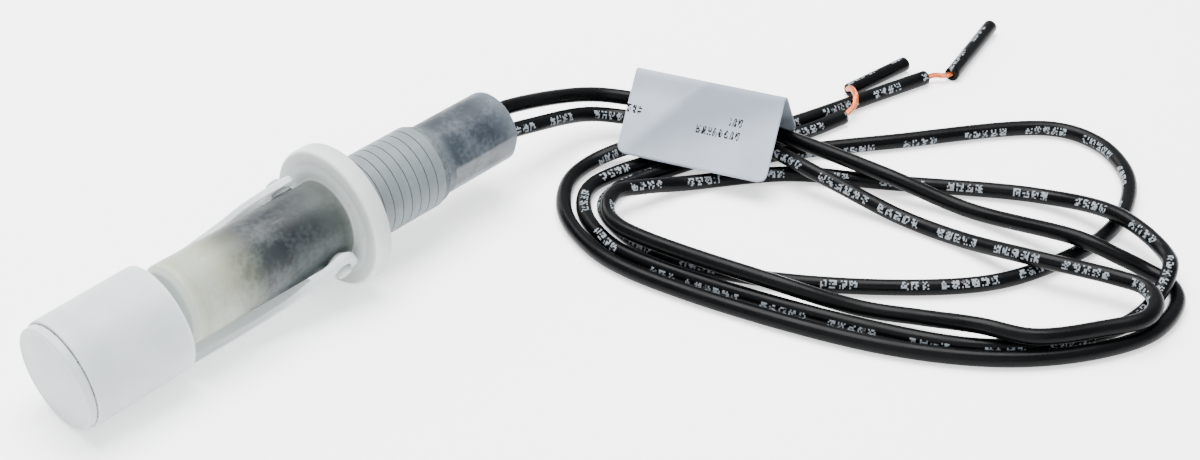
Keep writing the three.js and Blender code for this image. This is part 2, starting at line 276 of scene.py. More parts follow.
def evenly(dense, spacing):
    """The same path with points a fixed distance apart."""
    total = path_length(dense)
    count = max(2, round(total / spacing))
    wanted, result, gone = total / count, [dense[0]], 0.0
    for a, b in zip(dense, dense[1:]):
        length = (b - a).length
        while gone + length >= wanted * len(result) and len(result) < count:
            result.append(a.lerp(b, (wanted * len(result) - gone) / length))
        gone += length
    return [*result, dense[-1]]


def path_length(path):
    return sum((b - a).length for a, b in zip(path, path[1:]))


SPAN_STEPS = 40
LEAD_STEP = 0.8
ROUTES = {
    "a": [
        (35.3, 1.2, 1.4), (40.5, 1.2, 1.0), (59.0, -0.6, -4.0), (65.0, -5.4, -5.4),
        (75.6, -25.5, -7.5), (80.0, -53.5, -8.0), (84.2, -69.5, -10.6), (86.3, -90.5, -7.8),
        (87.8, -97.0, -8.9), (89.8, -102.2, -10.7), (89.4, -106.5, -10.95), (86.0, -110.2, -10.95),
        (75.0, -111.5, -10.95), (57.5, -101.5, -10.95), (43.2, -81.2, -10.95),
        (30.8, -37.2, -10.95), (32.0, -25.5, -10.95), (36.6, -16.5, -10.95), (44.5, -10.8, -10.9),
        (53.0, -10.3, -10.7), (58.6, -14.6, -8.8), (61.2, -20.0, -7.7), (64.2, -25.2, -8.0),
        (69.4, -29.4, -10.6), (77.0, -33.9, -10.9), (92.5, -45.4, -10.95), (117.4, -65.8, -10.95),
        (118.6, -75.1, -10.95), (113.3, -84.0, -10.95), (105.0, -89.0, -10.95),
        (95.7, -91.1, -10.95), (84.2, -90.0, -10.95), (67.7, -83.2, -10.95), (43.6, -54.0, -10.95),
        (37.8, -34.0, -10.95), (41.6, -21.6, -10.95), (46.5, -19.4, -10.95), (61.0, -22.6, -10.95),
        (85.0, -32.2, -10.95), (94.5, -34.4, -10.95),
    ],
    "b": [
        (35.3, -1.2, -1.4), (43.5, -2.1, -2.8), (57.0, -2.5, -6.6), (62.0, -5.6, -7.9),
        (71.8, -30.0, -7.7), (71.9, -46.3, -7.9), (74.5, -61.8, -10.7), (76.0, -73.4, -10.7),
        (76.2, -87.5, -7.8), (80.7, -101.5, -7.6), (81.2, -106.2, -7.4), (78.8, -109.8, -7.4),
        (74.3, -110.8, -7.5), (67.5, -106.8, -7.9), (58.3, -99.6, -8.0), (54.9, -91.6, -8.0),
        (52.0, -82.2, -9.6), (48.1, -72.9, -10.3), (42.2, -61.2, -8.2), (36.0, -29.8, -7.8),
        (38.7, -24.8, -7.8), (43.4, -22.7, -7.8), (49.0, -24.2, -8.8), (56.5, -27.0, -10.6),
        (72.3, -38.9, -10.95), (81.6, -53.0, -10.95), (96.1, -76.4, -10.4), (96.9, -91.5, -7.8),
        (92.8, -103.4, -8.0), (88.8, -106.6, -7.8), (80.0, -107.8, -10.6), (69.5, -105.3, -10.9),
        (52.8, -91.6, -10.95), (34.2, -36.0, -10.95), (35.2, -26.0, -10.95), (39.4, -18.6, -10.95),
        (46.0, -15.0, -10.95), (71.0, -22.6, -10.95), (82.0, -27.4, -10.95), (116.5, -37.4, -10.95),
    ],
}
lead_paths = {name: smooth_path(points, LEAD_STEP) for name, points in ROUTES.items()}
for name, path in lead_paths.items():
    print("lead", name, "is", round(path_length(path), 1), "mm long")

# %% [markdown]
# ## Shared effects as shader groups
#
# The same few effects appear on several finishes: clouds seen in depth through milky plastic, the
# specks and hair scratches of handled parts, a fine moulded grain, and a worn printed legend. Each
# is a node group with named inputs, built once, so that a material only places it and sets its
# own numbers. The groups put out masks and heights, and the shader stays in the material.
#
# A linked input knows the tree it lives in, so `add_node` rarely has to be told where to build.
# The line with @ above a function turns that function into the group of its name.

# %% Node helpers
def add_node(kind, inputs=None, tree=None, **settings):
    """A node with its settings and inputs. An input is a plain value, another node's output, or
    a node, which stands for its first output. The tree is that of a linked input."""
    wanted = {
        key: value.outputs[0] if isinstance(value, bpy.types.Node) else value
        for key, value in (inputs or {}).items()
    }
    links = {key: value for key, value in wanted.items() if isinstance(value, bpy.types.NodeSocket)}
    tree = tree or next(iter(links.values())).id_data
    made = tree.nodes.new(kind)
    for key, value in settings.items():
        setattr(made, key, value)
    for key, value in wanted.items():
        if key in links:
            tree.links.new(value, made.inputs[key])
        else:
            made.inputs[key].default_value = value
    return made


def calculate(operation, first, second=0.0, third=0.0, clamp=False):
    inputs = {0: first, 1: second, 2: third}
    return add_node("ShaderNodeMath", inputs, operation=operation, use_clamp=clamp).outputs[0]


def times(*factors):
    return reduce(lambda product, factor: calculate("MULTIPLY", product, factor), factors)


def plus(first, second):
    return calculate("ADD", first, second)


def minus(first, second):
    return calculate("SUBTRACT", first, second)


def more_than(value, limit):
    return calculate("GREATER_THAN", value, limit)


def less_than(value, limit):
    return calculate("LESS_THAN", value, limit)


def stretch(value, low, high, start=0.0, end=1.0, shape="SMOOTHSTEP"):
    """Moves the range low to high of a value to start to end, with a soft shoulder at both."""
    names = {"Value": value, "From Min": low, "From Max": high, "To Min": start, "To Max": end}
    return add_node("ShaderNodeMapRange", names, interpolation_type=shape).outputs["Result"]


def noise(position, scale, **inputs):
    names = {"Vector": position, "Scale": scale, **inputs}
    return add_node("ShaderNodeTexNoise", names).outputs[0]


def split(vector):
    """The X, Y and Z of a vector."""
    return list(add_node("ShaderNodeSeparateXYZ", {0: vector}).outputs)


def add_inputs(tree, inputs):
    """Named inputs of a tree. A start value's own kind decides the input's; None is a vector."""
    kinds = {int: "NodeSocketInt", float: "NodeSocketFloat"}
    for title, start in inputs.items():
        kind = kinds.get(type(start), "NodeSocketVector")
        title = title.replace("_", " ")
        socket = tree.interface.new_socket(name=title, in_out="INPUT", socket_type=kind)
        if start is not None:
            socket.default_value = start
    return tree.nodes.new("NodeGroupInput").outputs


def shader_group(**inputs):
    """Turns a function, from a group's inputs to its named outputs, into the group itself."""
    def make(build):
        tree = bpy.data.node_groups.new(build.__name__, "ShaderNodeTree")
        made = build(add_inputs(tree, inputs))
        for title in made:
            tree.interface.new_socket(name=title, in_out="OUTPUT", socket_type="NodeSocketFloat")
        end = tree.nodes.new("NodeGroupOutput")
        for title, value in made.items():
            tree.links.new(value, end.inputs[title])
        return tree
    return make


# %% The four effects
@shader_group(Position=None, Cloud_Size=3.0)
def cloudy_depth(given):
    """Soft mottling, as of a dark thing seen through cloudy plastic."""
    position, scale = given["Position"], calculate("DIVIDE", 1.0, given["Cloud Size"])
    clouds = noise(position, scale, Detail=3.0, Roughness=0.5)
    flecks = noise(position, times(scale, 5.5), Detail=3.0)
    return {"Clouds": stretch(clouds, 0.30, 0.70), "Flecks": stretch(flecks, 0.36, 0.66)}


@shader_group(Position=None, Speck_Spacing=3.0, Speck_Size=0.05)
def handling_marks(given):
    """Tiny dark specks and short hair scratches."""
    position, size = given["Position"], given["Speck Size"]
    scale = calculate("DIVIDE", 1.0, given["Speck Spacing"])
    cells = add_node("ShaderNodeTexVoronoi", {"Vector": position, "Scale": scale})
    near = stretch(cells.outputs["Distance"], size, times(size, 0.5))
    choice = add_node("ShaderNodeSeparateColor", {"Color": cells.outputs["Color"]})
    names = {"Vector": position, "Scale": (0.22, 2.4, 2.4), "Rotation": (0.3, 0.5, 0.4)}
    hairs = noise(add_node("ShaderNodeMapping", names), 0.9, Detail=1.0)
    patches = noise(position, 0.16)
    return {
        "Specks": times(near, stretch(choice.outputs[0], 0.62, 0.70)),
        "Scratches": times(stretch(hairs, 0.70, 0.73), stretch(patches, 0.50, 0.60)),
    }


@shader_group(Position=None, Grain_Size=0.5)
def moulded_grain(given):
    """Fine unevenness of a moulded or extruded surface, for bump and roughness."""
    position, scale = given["Position"], calculate("DIVIDE", 1.0, given["Grain Size"])
    broad = noise(position, times(scale, 0.12))
    return {"Height": noise(position, scale, Detail=3.0), "Unevenness": broad}


LETTER = {"columns": 6.6, "rows": 5.0, "inked": 0.56, "width": 0.75}
WORD = {"letters": 7.0, "shortest": 0.38, "spread": 0.4}


@shader_group(Along=0.0, Across=0.0, Pitch=2.1, Height=1.4, Wear=1.0, Gaps=1.0)
def worn_legend(given):
    """A line of small illegible blocks, in words with gaps between, partly rubbed off."""
    position = calculate("DIVIDE", given["Along"], given["Pitch"])
    block, within = calculate("FLOOR", position), calculate("FRACT", position)
    upright = plus(calculate("DIVIDE", given["Across"], given["Height"]), 0.5)
    column = calculate("FLOOR", times(within, LETTER["columns"]))
    row = calculate("FLOOR", times(upright, LETTER["rows"]))
    seed = add_node("ShaderNodeCombineXYZ", {0: block, 1: column, 2: row})
    stroke = add_node("ShaderNodeTexWhiteNoise", {"Vector": seed}).outputs["Value"]
    place = calculate("DIVIDE", block, WORD["letters"])
    names = {"W": calculate("FLOOR", place)}
    word = add_node("ShaderNodeTexWhiteNoise", names, noise_dimensions="1D").outputs["Value"]
    length = plus(times(word, WORD["spread"]), WORD["shortest"])
    blank = more_than(calculate("FRACT", place), length)
    spot = add_node("ShaderNodeCombineXYZ", {0: given["Along"], 1: given["Across"]})
    rubbed = minus(1.0, stretch(noise(spot, 0.9), 0.30, 0.48))
    return {"Ink": times(
        less_than(stroke, LETTER["inked"]),
        minus(1.0, times(blank, given["Gaps"])),
        less_than(within, LETTER["width"]), more_than(upright, 0.0), less_than(upright, 1.0),
        minus(1.0, times(rubbed, given["Wear"])),
    )}


print("shader groups:", [group.name for group in bpy.data.node_groups])

# %% [markdown]
# ## Milky plastic
#
# The moulding is unpigmented plastic: light goes a few millimetres into it and comes back out.
# Real transmission would need many samples and wouldn't survive an export, so the finish uses a
# little subsurface scattering, and the things behind the wall are painted into the base colour.
# A colour ramp along X says what lies behind each stretch: clear plastic at the tip, a cream
# patch, the dark potting and leads, the white flange, the grey thread and the dark tail. Just
# behind the cap the ramp also holds a painted shadow of the cap. Clouds break up the dark
# stretches, as the uneven potting does. The extra clouds on the top side and the fewer ones
# underneath are painted shade. The thread's grooves get painted shade, the shoulders of its
# ridges get a painted highlight, and the lower half of the tail's flat gets a painted sheen.
# Where light comes through the wall from behind, a point attribute called glow adds a weak light
# of its own.

# %% Material helpers
def shade(red, green, blue):
    return (red, green, blue, 1.0)


def blended(share, first, second):
    """A colour between two: both may be plain colours or sockets."""
    return add_node("ShaderNodeMix", {0: share, 6: first, 7: second}, data_type="RGBA").outputs[2]


def layered(colour, *layers):
    """A colour with others laid over it, each by its own share."""
    return reduce(lambda below, layer: blended(layer[0], below, layer[1]), layers, colour)


def ramp(share, stops):
    made = add_node("ShaderNodeValToRGB", {"Fac": share})
    elements = made.color_ramp.elements
    for element, (place, colour) in ((elements[0], stops[0]), (elements[1], stops[-1])):
        element.position = place
        element.color = shade(*colour)
    for place, colour in stops[1:-1]:
        elements.new(place).color = shade(*colour)
    return made.outputs["Color"]


def new_material(name, roughness, **sockets):
    """A material, and its position in millimetres for the textures."""
    material = bpy.data.materials.new(name)
    material.use_nodes = True
    shader = material.node_tree.nodes["Principled BSDF"]
    for title, value in {"Roughness": roughness, **sockets}.items():
        shader.inputs[title.replace("_", " ")].default_value = value
    place = add_node("ShaderNodeTexCoord", tree=material.node_tree).outputs["Object"]
    scaled = add_node("ShaderNodeVectorMath", {0: place, "Scale": 1 / MM}, operation="SCALE")
    return material, scaled.outputs[0]


def effect(group, **inputs):
    """A shared effect with its inputs, whose names have _ for a space."""
    names = {title.replace("_", " "): value for title, value in inputs.items()}
    return add_node("ShaderNodeGroup", names, node_tree=group).outputs


def paint(material, position, colour, grain_size, depth, roughness, lit_through=False):
    """Links the colour, the moulded grain in normal and roughness, and the glow if there is one."""
    tree = material.node_tree
    shader = tree.nodes["Principled BSDF"]
    grain = effect(moulded_grain, Position=position, Grain_Size=grain_size)
    names = {"Height": grain["Height"], "Distance": depth * MM, "Strength": 1.0}
    linked = {
        "Base Color": colour,
        "Normal": add_node("ShaderNodeBump", names).outputs["Normal"],
        "Roughness": stretch(grain["Unevenness"], 0.3, 0.7, *roughness),
    }
    if lit_through:
        share = add_node("ShaderNodeAttribute", tree=tree, attribute_name="glow").outputs["Fac"]
        linked["Emission Color"] = blended(share, shade(0.0, 0.0, 0.0), THROUGH_LIGHT)
        shader.inputs["Emission Strength"].default_value = 1.0
    for title, socket in linked.items():
        tree.links.new(socket, shader.inputs[title])
    return material


def handled(position, spacing, size, specks, scratches):
    """The two layers that handling leaves, for the milky plastics."""
    marks = effect(handling_marks, Position=position, Speck_Spacing=spacing, Speck_Size=size)
    yield times(marks["Specks"], specks), SPECK_COLOUR
    yield times(marks["Scratches"], scratches), MARK_COLOUR


# %% Stem plastic
BEHIND_WALL_AND_CAP_SHADOW = [  # x in mm, colour of the plain plastic there, colour of the clouds there
    (-36.8, (0.31, 0.34, 0.31), (0.28, 0.31, 0.28)),
    # painted shadow of the cap on the stem, just behind the cap
    (-35.2, (0.25, 0.27, 0.21), (0.23, 0.24, 0.18)),
    (-32.5, (0.275, 0.305, 0.26), (0.235, 0.26, 0.215)),
    (-29.0, (0.24, 0.265, 0.225), (0.20, 0.21, 0.155)),
    (-25.5, (0.135, 0.155, 0.125), (0.075, 0.082, 0.063)),
    (-21.5, (0.062, 0.073, 0.070), (0.018, 0.022, 0.024)),
    (-16.0, (0.028, 0.036, 0.038), (0.004, 0.006, 0.009)),
    (-10.0, (0.034, 0.042, 0.043), (0.013, 0.017, 0.018)),
    (-5.5, (0.050, 0.060, 0.057), (0.034, 0.041, 0.038)),
    (-3.9, (0.10, 0.115, 0.105), (0.08, 0.09, 0.083)),
    (-3.6, (0.50, 0.54, 0.52), (0.45, 0.49, 0.475)),
    (-0.3, (0.40, 0.44, 0.425), (0.36, 0.40, 0.39)),
    (0.1, (0.100, 0.120, 0.127), (0.076, 0.092, 0.098)),
    (10.0, (0.105, 0.126, 0.136), (0.076, 0.093, 0.102)),
    (18.6, (0.098, 0.116, 0.130), (0.066, 0.080, 0.090)),
    (21.0, (0.070, 0.083, 0.098), (0.018, 0.024, 0.031)),
    (30.0, (0.056, 0.068, 0.082), (0.014, 0.019, 0.026)),
    (33.0, (0.072, 0.085, 0.100), (0.036, 0.045, 0.055)),
    (35.6, (0.100, 0.116, 0.132), (0.075, 0.088, 0.102)),
]
THROUGH_LIGHT = shade(0.46, 0.52, 0.51)
PIN_COLOUR = shade(0.34, 0.38, 0.37)
PAINTED_FLAT_SHEEN = shade(0.34, 0.37, 0.385)
PAINTED_RIDGE_HIGHLIGHT = shade(0.24, 0.27, 0.28)
PAINTED_GROOVE_SHADE = shade(0.045, 0.052, 0.056)
SPECK_COLOUR = shade(0.03, 0.033, 0.036)
MARK_COLOUR = shade(0.45, 0.47, 0.47)


def stem_plastic():
    material, position = new_material(
        "milky_stem_plastic", 0.42, Subsurface_Weight=0.2, Subsurface_Scale=0.0012,
        Subsurface_Radius=(1.0, 1.0, 0.9), Specular_IOR_Level=0.22,
    )
    x, y, z = split(position)
    along = stretch(x, STEM["front"], TAIL["end"], shape="LINEAR")
    stem_length = TAIL["end"] - STEM["front"]
    shares = [(row[0] - STEM["front"]) / stem_length for row in BEHIND_WALL_AND_CAP_SHADOW]
    plain, cloudy = (
        ramp(along, [(share, row[column]) for share, row in zip(shares, BEHIND_WALL_AND_CAP_SHADOW)])
        for column in (1, 2)
    )
    depth = effect(cloudy_depth, Position=position, Cloud_Size=4.6)
    # Painted shade: more of the dark clouds on the top side of the stem, fewer towards the bottom.
    painted_top_shade = stretch(z, -2.0, 6.0, -0.30, 0.42)
    large = calculate("MULTIPLY_ADD", depth["Clouds"], 0.75, painted_top_shade)
    cloud_and_top_shade_share = calculate("MULTIPLY_ADD", depth["Flecks"], 0.42, large, clamp=True)

    root, crest = THREAD["root"], THREAD["crest"]
    radius = calculate("SQRT", plus(times(y, y), times(z, z)))
    on_thread = (more_than(x, THREAD["collar"]), less_than(x, THREAD["end"] + 0.2))
    # Painted shade down in the thread's grooves, broken up by the flecks.
    groove = stretch(radius, root + 0.35, root + 0.02)
    broken = stretch(depth["Flecks"], 0.1, 0.7, 0.2, 0.75)
    # Painted highlight along the shoulders of the thread's ridges.
    shoulder = times(
        stretch(radius, root + 0.25, root + 0.5), stretch(radius, crest - 0.01, crest - 0.09)
    )
    outside = stretch(radius, STEM["radius"] + 0.1, STEM["radius"] + 0.5)

    names = {0: position, 1: roll_matrix @ FLAT_OUTWARD}
    height = add_node("ShaderNodeVectorMath", names, operation="DOT_PRODUCT").outputs["Value"]
    face = TAIL["radius"] - TAIL["flat_depth"]
    on_flat = times(
        stretch(height, face - 0.12, face - 0.04), more_than(x, TAIL["flat_start"] + 0.1)
    )
    # Painted sheen: the lower half of the tail's flat is painted lighter.
    sheen_below = stretch(z, -2.6, -4.6, 0.15, 0.85)
    colour = layered(
        blended(cloud_and_top_shade_share, plain, cloudy),
        (times(shoulder, *on_thread, 0.6), PAINTED_RIDGE_HIGHLIGHT),
        (times(groove, *on_thread, broken), PAINTED_GROOVE_SHADE),
        (times(outside, less_than(x, FLANGE["front"])), PIN_COLOUR),
        (times(on_flat, sheen_below), PAINTED_FLAT_SHEEN),
        *handled(position, 3.4, 0.05, 0.75, 0.03),
    )
    return paint(material, position, colour, 0.45, 0.03, (0.40, 0.52), lit_through=True)


# %% Float plastic
FLOAT_WHITE = shade(0.40, 0.44, 0.445)
FLOAT_SHADE = shade(0.34, 0.38, 0.385)
SPIGOT_BAND = (-54.9, -53.1)


def float_plastic():
    material, position = new_material(
        "milky_float_plastic", 0.45, Subsurface_Weight=0.3, Subsurface_Scale=0.0015,
        Subsurface_Radius=(0.9, 1.0, 1.0), Specular_IOR_Level=0.3,
    )
    x = split(position)[0]
    clouds = effect(cloudy_depth, Position=position, Cloud_Size=9.0)["Clouds"]
    front = stretch(x, SPIGOT_BAND[0] - 1.2, SPIGOT_BAND[0])
    back = stretch(x, SPIGOT_BAND[1] + 1.6, SPIGOT_BAND[1])
    colour = layered(
        FLOAT_WHITE,
        (times(clouds, 0.5), FLOAT_SHADE),
        (times(front, back, 0.45), FLOAT_SHADE),
        *handled(position, 4.2, 0.045, 0.7, 0.2),
    )
    return paint(material, position, colour, 0.35, 0.05, (0.38, 0.52), lit_through=True)


# %% [markdown]
# ## Lead insulation, copper, paper and the small metal
#
# The insulation is glossy black PVC with a printed legend. The legend follows the wire, so it
# reads the piece's own UV map: U is the distance along the lead in metres and V goes once round
# it. The other finishes are simple: bright twisted copper, a bluish paper, and the metals and
# resin inside the stem, which each get some unevenness so that none is one flat colour.

# %% The other finishes
INSULATION_BLACK = shade(0.0006, 0.0007, 0.0009)
INSULATION_DUSTY = shade(0.002, 0.0022, 0.0027)
LEGEND_INK = shade(0.20, 0.225, 0.245)


def laid_out(material):
    """U and V of a piece's UV map."""
    return split(add_node("ShaderNodeUVMap", tree=material.node_tree, uv_map="UVMap"))[:2]


def insulation():
    material, position = new_material("black_insulation", 0.3, Specular_IOR_Level=0.07)
    u, v = laid_out(material)
    across = times(minus(v, 0.5), 2 * math.pi * WIRE_RADIUS)
    ink = effect(worn_legend, Along=times(u, 1 / MM), Across=across, Pitch=1.7, Height=1.5)["Ink"]
    marks = effect(handling_marks, Position=position, Speck_Spacing=5.0, Speck_Size=0.04)
    clouds = effect(cloudy_depth, Position=position, Cloud_Size=4.0)["Clouds"]
    colour = layered(
        INSULATION_BLACK,
        (times(clouds, 0.35), INSULATION_DUSTY),
        (times(marks["Specks"], 0.5), MARK_COLOUR),
        (times(ink, 0.85), LEGEND_INK),
    )
    return paint(material, position, colour, 0.7, 0.02, (0.24, 0.38))


LABEL_WHITE = shade(0.325, 0.365, 0.425)
LABEL_SHADE = shade(0.14, 0.168, 0.208)
LABEL_INK = shade(0.004, 0.004, 0.005)
LABEL_LINES = [  # start and end along the label, height down it, all in mm
    (19.4, 22.0, 5.6), (13.4, 22.0, 8.0), (0.0, 2.9, 6.9),
]


def label_paper():
    """Paper with a dented middle and short lines of marks."""
    material, position = new_material("label_paper", 0.7, Specular_IOR_Level=0.2)
    along, down = (times(value, 1 / MM) for value in laid_out(material))
    past_dent = stretch(plus(along, times(down, 0.75)), 10.8, 14.2)
    fading = stretch(plus(along, times(down, 2.2)), 44.0, 26.0)
    near_fold = times(stretch(down, 5.0, 1.0), 0.5)
    shaded = calculate("MAXIMUM", times(past_dent, fading), near_fold)
    clouds = effect(cloudy_depth, Position=position, Cloud_Size=7.0)["Clouds"]
    layers = [(times(shaded, 0.75), LABEL_SHADE), (times(clouds, 0.15), LABEL_SHADE)]
    for start, finish, height in LABEL_LINES:
        line = {"Along": along, "Across": minus(height, down), "Pitch": 1.05, "Height": 1.5}
        ink = effect(worn_legend, **line, Wear=0.0, Gaps=0.0)["Ink"]
        layers.append((times(more_than(along, start), less_than(along, finish), ink), LABEL_INK))
    return paint(material, position, layered(LABEL_WHITE, *layers), 0.25, 0.02, (0.62, 0.78))


PLAIN = {  # light and dark colour, range of roughness, size and depth of the grain in mm
    "bright_copper": [(0.62, 0.17, 0.055), (0.42, 0.09, 0.03), (0.22, 0.38), 0.3, 0.01],
    "potting_resin": [(0.10, 0.11, 0.12), (0.02, 0.022, 0.026), (0.25, 0.5), 0.6, 0.06],
    "root_resin": [(0.20, 0.22, 0.24), (0.035, 0.04, 0.045), (0.2, 0.4), 0.4, 0.08],
    "ferrite": [(0.06, 0.06, 0.065), (0.03, 0.03, 0.032), (0.45, 0.65), 0.4, 0.03],
    "reed_glass": [(0.62, 0.78, 0.70), (0.50, 0.70, 0.62), (0.05, 0.12), 1.2, 0.01],
    "reed_metal": [(0.55, 0.53, 0.48), (0.42, 0.41, 0.38), (0.25, 0.4), 0.2, 0.01],
    "solder": [(0.62, 0.63, 0.65), (0.40, 0.41, 0.43), (0.25, 0.5), 0.3, 0.04],
    "weld_flash": [(0.16, 0.18, 0.18), (0.05, 0.055, 0.055), (0.5, 0.7), 0.2, 0.01],
}
SHINE = {
    "bright_copper": {"Metallic": 0.85}, "reed_glass": {"Coat_Weight": 0.6},
    "reed_metal": {"Metallic": 1.0}, "solder": {"Metallic": 1.0},
}
CLOUDS_PER_GRAIN = 6


def plain_finish(name, light, dark, roughness, grain, depth):
    """A finish with two close colours in soft clouds and a fine grain."""
    material, position = new_material(name, roughness[0], **SHINE.get(name, {}))
    clouds = effect(cloudy_depth, Position=position, Cloud_Size=grain * CLOUDS_PER_GRAIN)["Clouds"]
    colour = blended(clouds, shade(*light), shade(*dark))
    return paint(material, position, colour, grain, depth, roughness)


stem_finish = stem_plastic()
float_finish = float_plastic()
insulation_finish = insulation()
label_finish = label_paper()
finishes = {name: plain_finish(name, *numbers) for name, numbers in PLAIN.items()}
print("materials:", [material.name for material in bpy.data.materials if material.users])

# %% [markdown]
# ## The leads
#
# Each lead is a tube swept along its path. Its rings are built from the direction of travel and
# the upward direction, and then turned a little further with every millimetre, because a real
# wire twists as it is coiled. The twist carries the UV map with it, and so the printed legend
# wanders round the wire. The bared end has a short recess in the insulation, where the strands
# come out, and the other end goes into the tail.

# %% Tubes along a path
UP = Vector((0, 0, 1))
RING_SIDES = 20
RECESS = 0.9
HOLE_RADIUS = 0.62
END_ROUNDING = 0.12


def ring_frames(path):
    """For each point of a path: the point, an upward direction across it, and a sideways one."""
    frames = []
    for i, point in enumerate(path):
        forward = (path[min(i + 1, len(path) - 1)] - path[max(i - 1, 0)]).normalized()
        upward = (UP - UP.dot(forward) * forward).normalized()
        frames.append((point, upward, forward.cross(upward)))
    return frames


def swept_tube(path, turn_at, recess_start):
    """Points, faces and UVs of insulation along a path. turn_at gives its twist at a length."""
    points, faces, layout = [], [], []
    spacing = path_length(path) / (len(path) - 1)
    rings = [(frame, WIRE_RADIUS, i * spacing) for i, frame in enumerate(ring_frames(path))]
    if recess_start:
        rings = recessed(rings)
    rings = recessed(rings[::-1])[::-1]
    for (point, upward, sideways), radius, gone in rings:
        for side in range(RING_SIDES):
            angle = 2 * math.pi * side / RING_SIDES - math.pi + turn_at(gone)
            points.append(point + radius * (math.cos(angle) * upward + math.sin(angle) * sideways))
    for i in range(len(rings) - 1):
        for side in range(RING_SIDES):
            after = (side + 1) % RING_SIDES
            here, there = i * RING_SIDES, (i + 1) * RING_SIDES
            faces.append((here + side, here + after, there + after, there + side))
            for length, turn in ((i, side), (i, side + 1), (i + 1, side + 1), (i + 1, side)):
                layout.append((rings[length][2] * MM, turn / RING_SIDES))
    for ring in (0, len(rings) - 1):
        start = ring * RING_SIDES
        faces.append(tuple(range(start, start + RING_SIDES)))
        layout += [(rings[ring][2] * MM, side / RING_SIDES) for side in range(RING_SIDES)]
    return points, faces, layout


def recessed(rings):
    """Gives the first end of a list of rings a rounded lip and a recess."""
    (point, upward, sideways), radius, gone = rings[0]
    inward = (rings[1][0][0] - point).normalized()
    lip = [
        (RECESS, HOLE_RADIUS), (END_ROUNDING, HOLE_RADIUS), (0.0, HOLE_RADIUS + END_ROUNDING),
        (0.0, radius - END_ROUNDING), (END_ROUNDING, radius),
    ]
    made = [((point + inward * depth, upward, sideways), wide, gone) for depth, wide in lip]
    return made + rings[1:]


# %% Leads, strands and slugs
TWIST = {  # distance along in mm, turns of the legend away from the top
    "a": [
        (0, 0.55), (140, 0.45), (280, 0.33), (290, 0.20), (305, 0.30), (420, 0.16), (432, -0.10),
        (500, -0.15), (530, -0.12), (548, 0.12), (572, 0.14),
    ],
    "b": [
        (0, 0.19), (36, 0.17), (130, 0.15), (150, 0.42), (225, 0.35), (242, 0.14), (345, 0.15),
        (365, 0.0), (385, -0.24), (455, -0.26), (475, -0.02), (490, 0.10), (520, 0.15), (561, 0.14),
    ],
}


def twist(knots, gone):
    """The legend's turn at a length along the wire, in radians, eased from knot to knot."""
    for (before, first), (after, second) in zip(knots, knots[1:]):
        if before <= gone <= after:
            share = (gone - before) / (after - before)
            return 2 * math.pi * (first + (second - first) * share * share * (3 - 2 * share))
    return 2 * math.pi * knots[-1][1]


def insulated(name, path, turn_at, recess_start=False):
    points, faces, layout = swept_tube(path, turn_at, recess_start)
    piece = add_piece(name, points, faces, insulation_finish, Matrix(), layout, sharp=50.0)
    print(name, "is", round(path_length(path), 1), "mm long,", len(faces), "faces")
    return piece


lead_pieces = {
    name: insulated(f"flying_lead_{name}", path, partial(twist, TWIST[name]))
    for name, path in lead_paths.items()
}
STRAND_ROUTES = {
    "a": [
        (94.8, -34.5, -10.95), (97.4, -34.5, -9.8), (98.9, -33.6, -8.7), (100.3, -31.6, -8.6),
        (101.4, -30.0, -9.8), (102.2, -29.4, -10.9),
    ],
    "b": [
        (116.8, -37.5, -10.95), (118.4, -38.4, -10.9), (119.3, -39.7, -10.9),
        (120.4, -40.6, -10.95),
    ],
}
SLUG_ENDS = {"a": (118.0, -31.4, -10.95), "b": (141.5, -35.5, -10.95)}
SLUG_GAP = 0.3
slug_pieces = {}
for name, end in SLUG_ENDS.items():
    root = Vector(STRAND_ROUTES[name][-1])
    forward = (Vector(end) - root).normalized()
    path = smooth_path([root + forward * SLUG_GAP, end], LEAD_STEP)
    slug_pieces[name] = insulated(f"stripped_slug_{name}", path, lambda gone: -0.5, True)

# %% [markdown]
# ## Twisted strands with Geometry Nodes
#
# Bared wire is a bundle of thin strands that wind round each other. That is a rule, so a node
# tree makes it: it copies the path once for each strand, moves each copy outwards, round the
# path by an angle that grows along it, and gives it thickness. The first copy stays in the
# middle. The tree is built here, with named inputs, and its result is turned into a plain mesh.

# %% Helpers for geometry trees
def geometry_tree(**inputs):
    """Turns a function, from a tree's inputs to geometry and a material, into the tree."""
    def make(build):
        tree = bpy.data.node_groups.new(build.__name__, "GeometryNodeTree")
        for way in ("INPUT", "OUTPUT"):
            tree.interface.new_socket(name="Geometry", in_out=way, socket_type="NodeSocketGeometry")
        geometry, material = build(add_inputs(tree, inputs))
        solid = add_node("GeometryNodeRealizeInstances", {"Geometry": geometry})
        names = {"Geometry": solid, "Material": material}
        painted = add_node("GeometryNodeSetMaterial", names)
        tree.links.new(painted.outputs[0], tree.nodes.new("NodeGroupOutput").inputs[0])
        return tree
    return make


def path_curve(name, path):
    """A curve object of one open spline, in metres."""
    data = bpy.data.curves.new(name, "CURVE")
    data.dimensions = "3D"
    spline = data.splines.new("POLY")
    spline.points.add(len(path) - 1)
    for knot, point in zip(spline.points, path):
        knot.co = (*(point * MM), 1.0)
    return add_object(name, data)


STUB = (Vector((0, 0, 0)), Vector((1, 0, 0)))  # carries a tree that doesn't use its curve


def grown(name, tree, settings, path=STUB):
    """Runs a tree on a curve along a path and gives back its result as a plain piece."""
    carrier = path_curve(f"{name}_path", path)
    modifier = carrier.modifiers.new(name, "NODES")
    modifier.node_group = tree
    for socket in tree.interface.items_tree:
        if socket.in_out == "INPUT" and socket.name in settings:
            modifier[socket.identifier] = settings[socket.name]
    seen = carrier.evaluated_get(bpy.context.evaluated_depsgraph_get())
    mesh = bpy.data.meshes.new_from_object(seen)
    mesh.name = name
    bpy.data.objects.remove(carrier)
    return add_object(name, mesh)


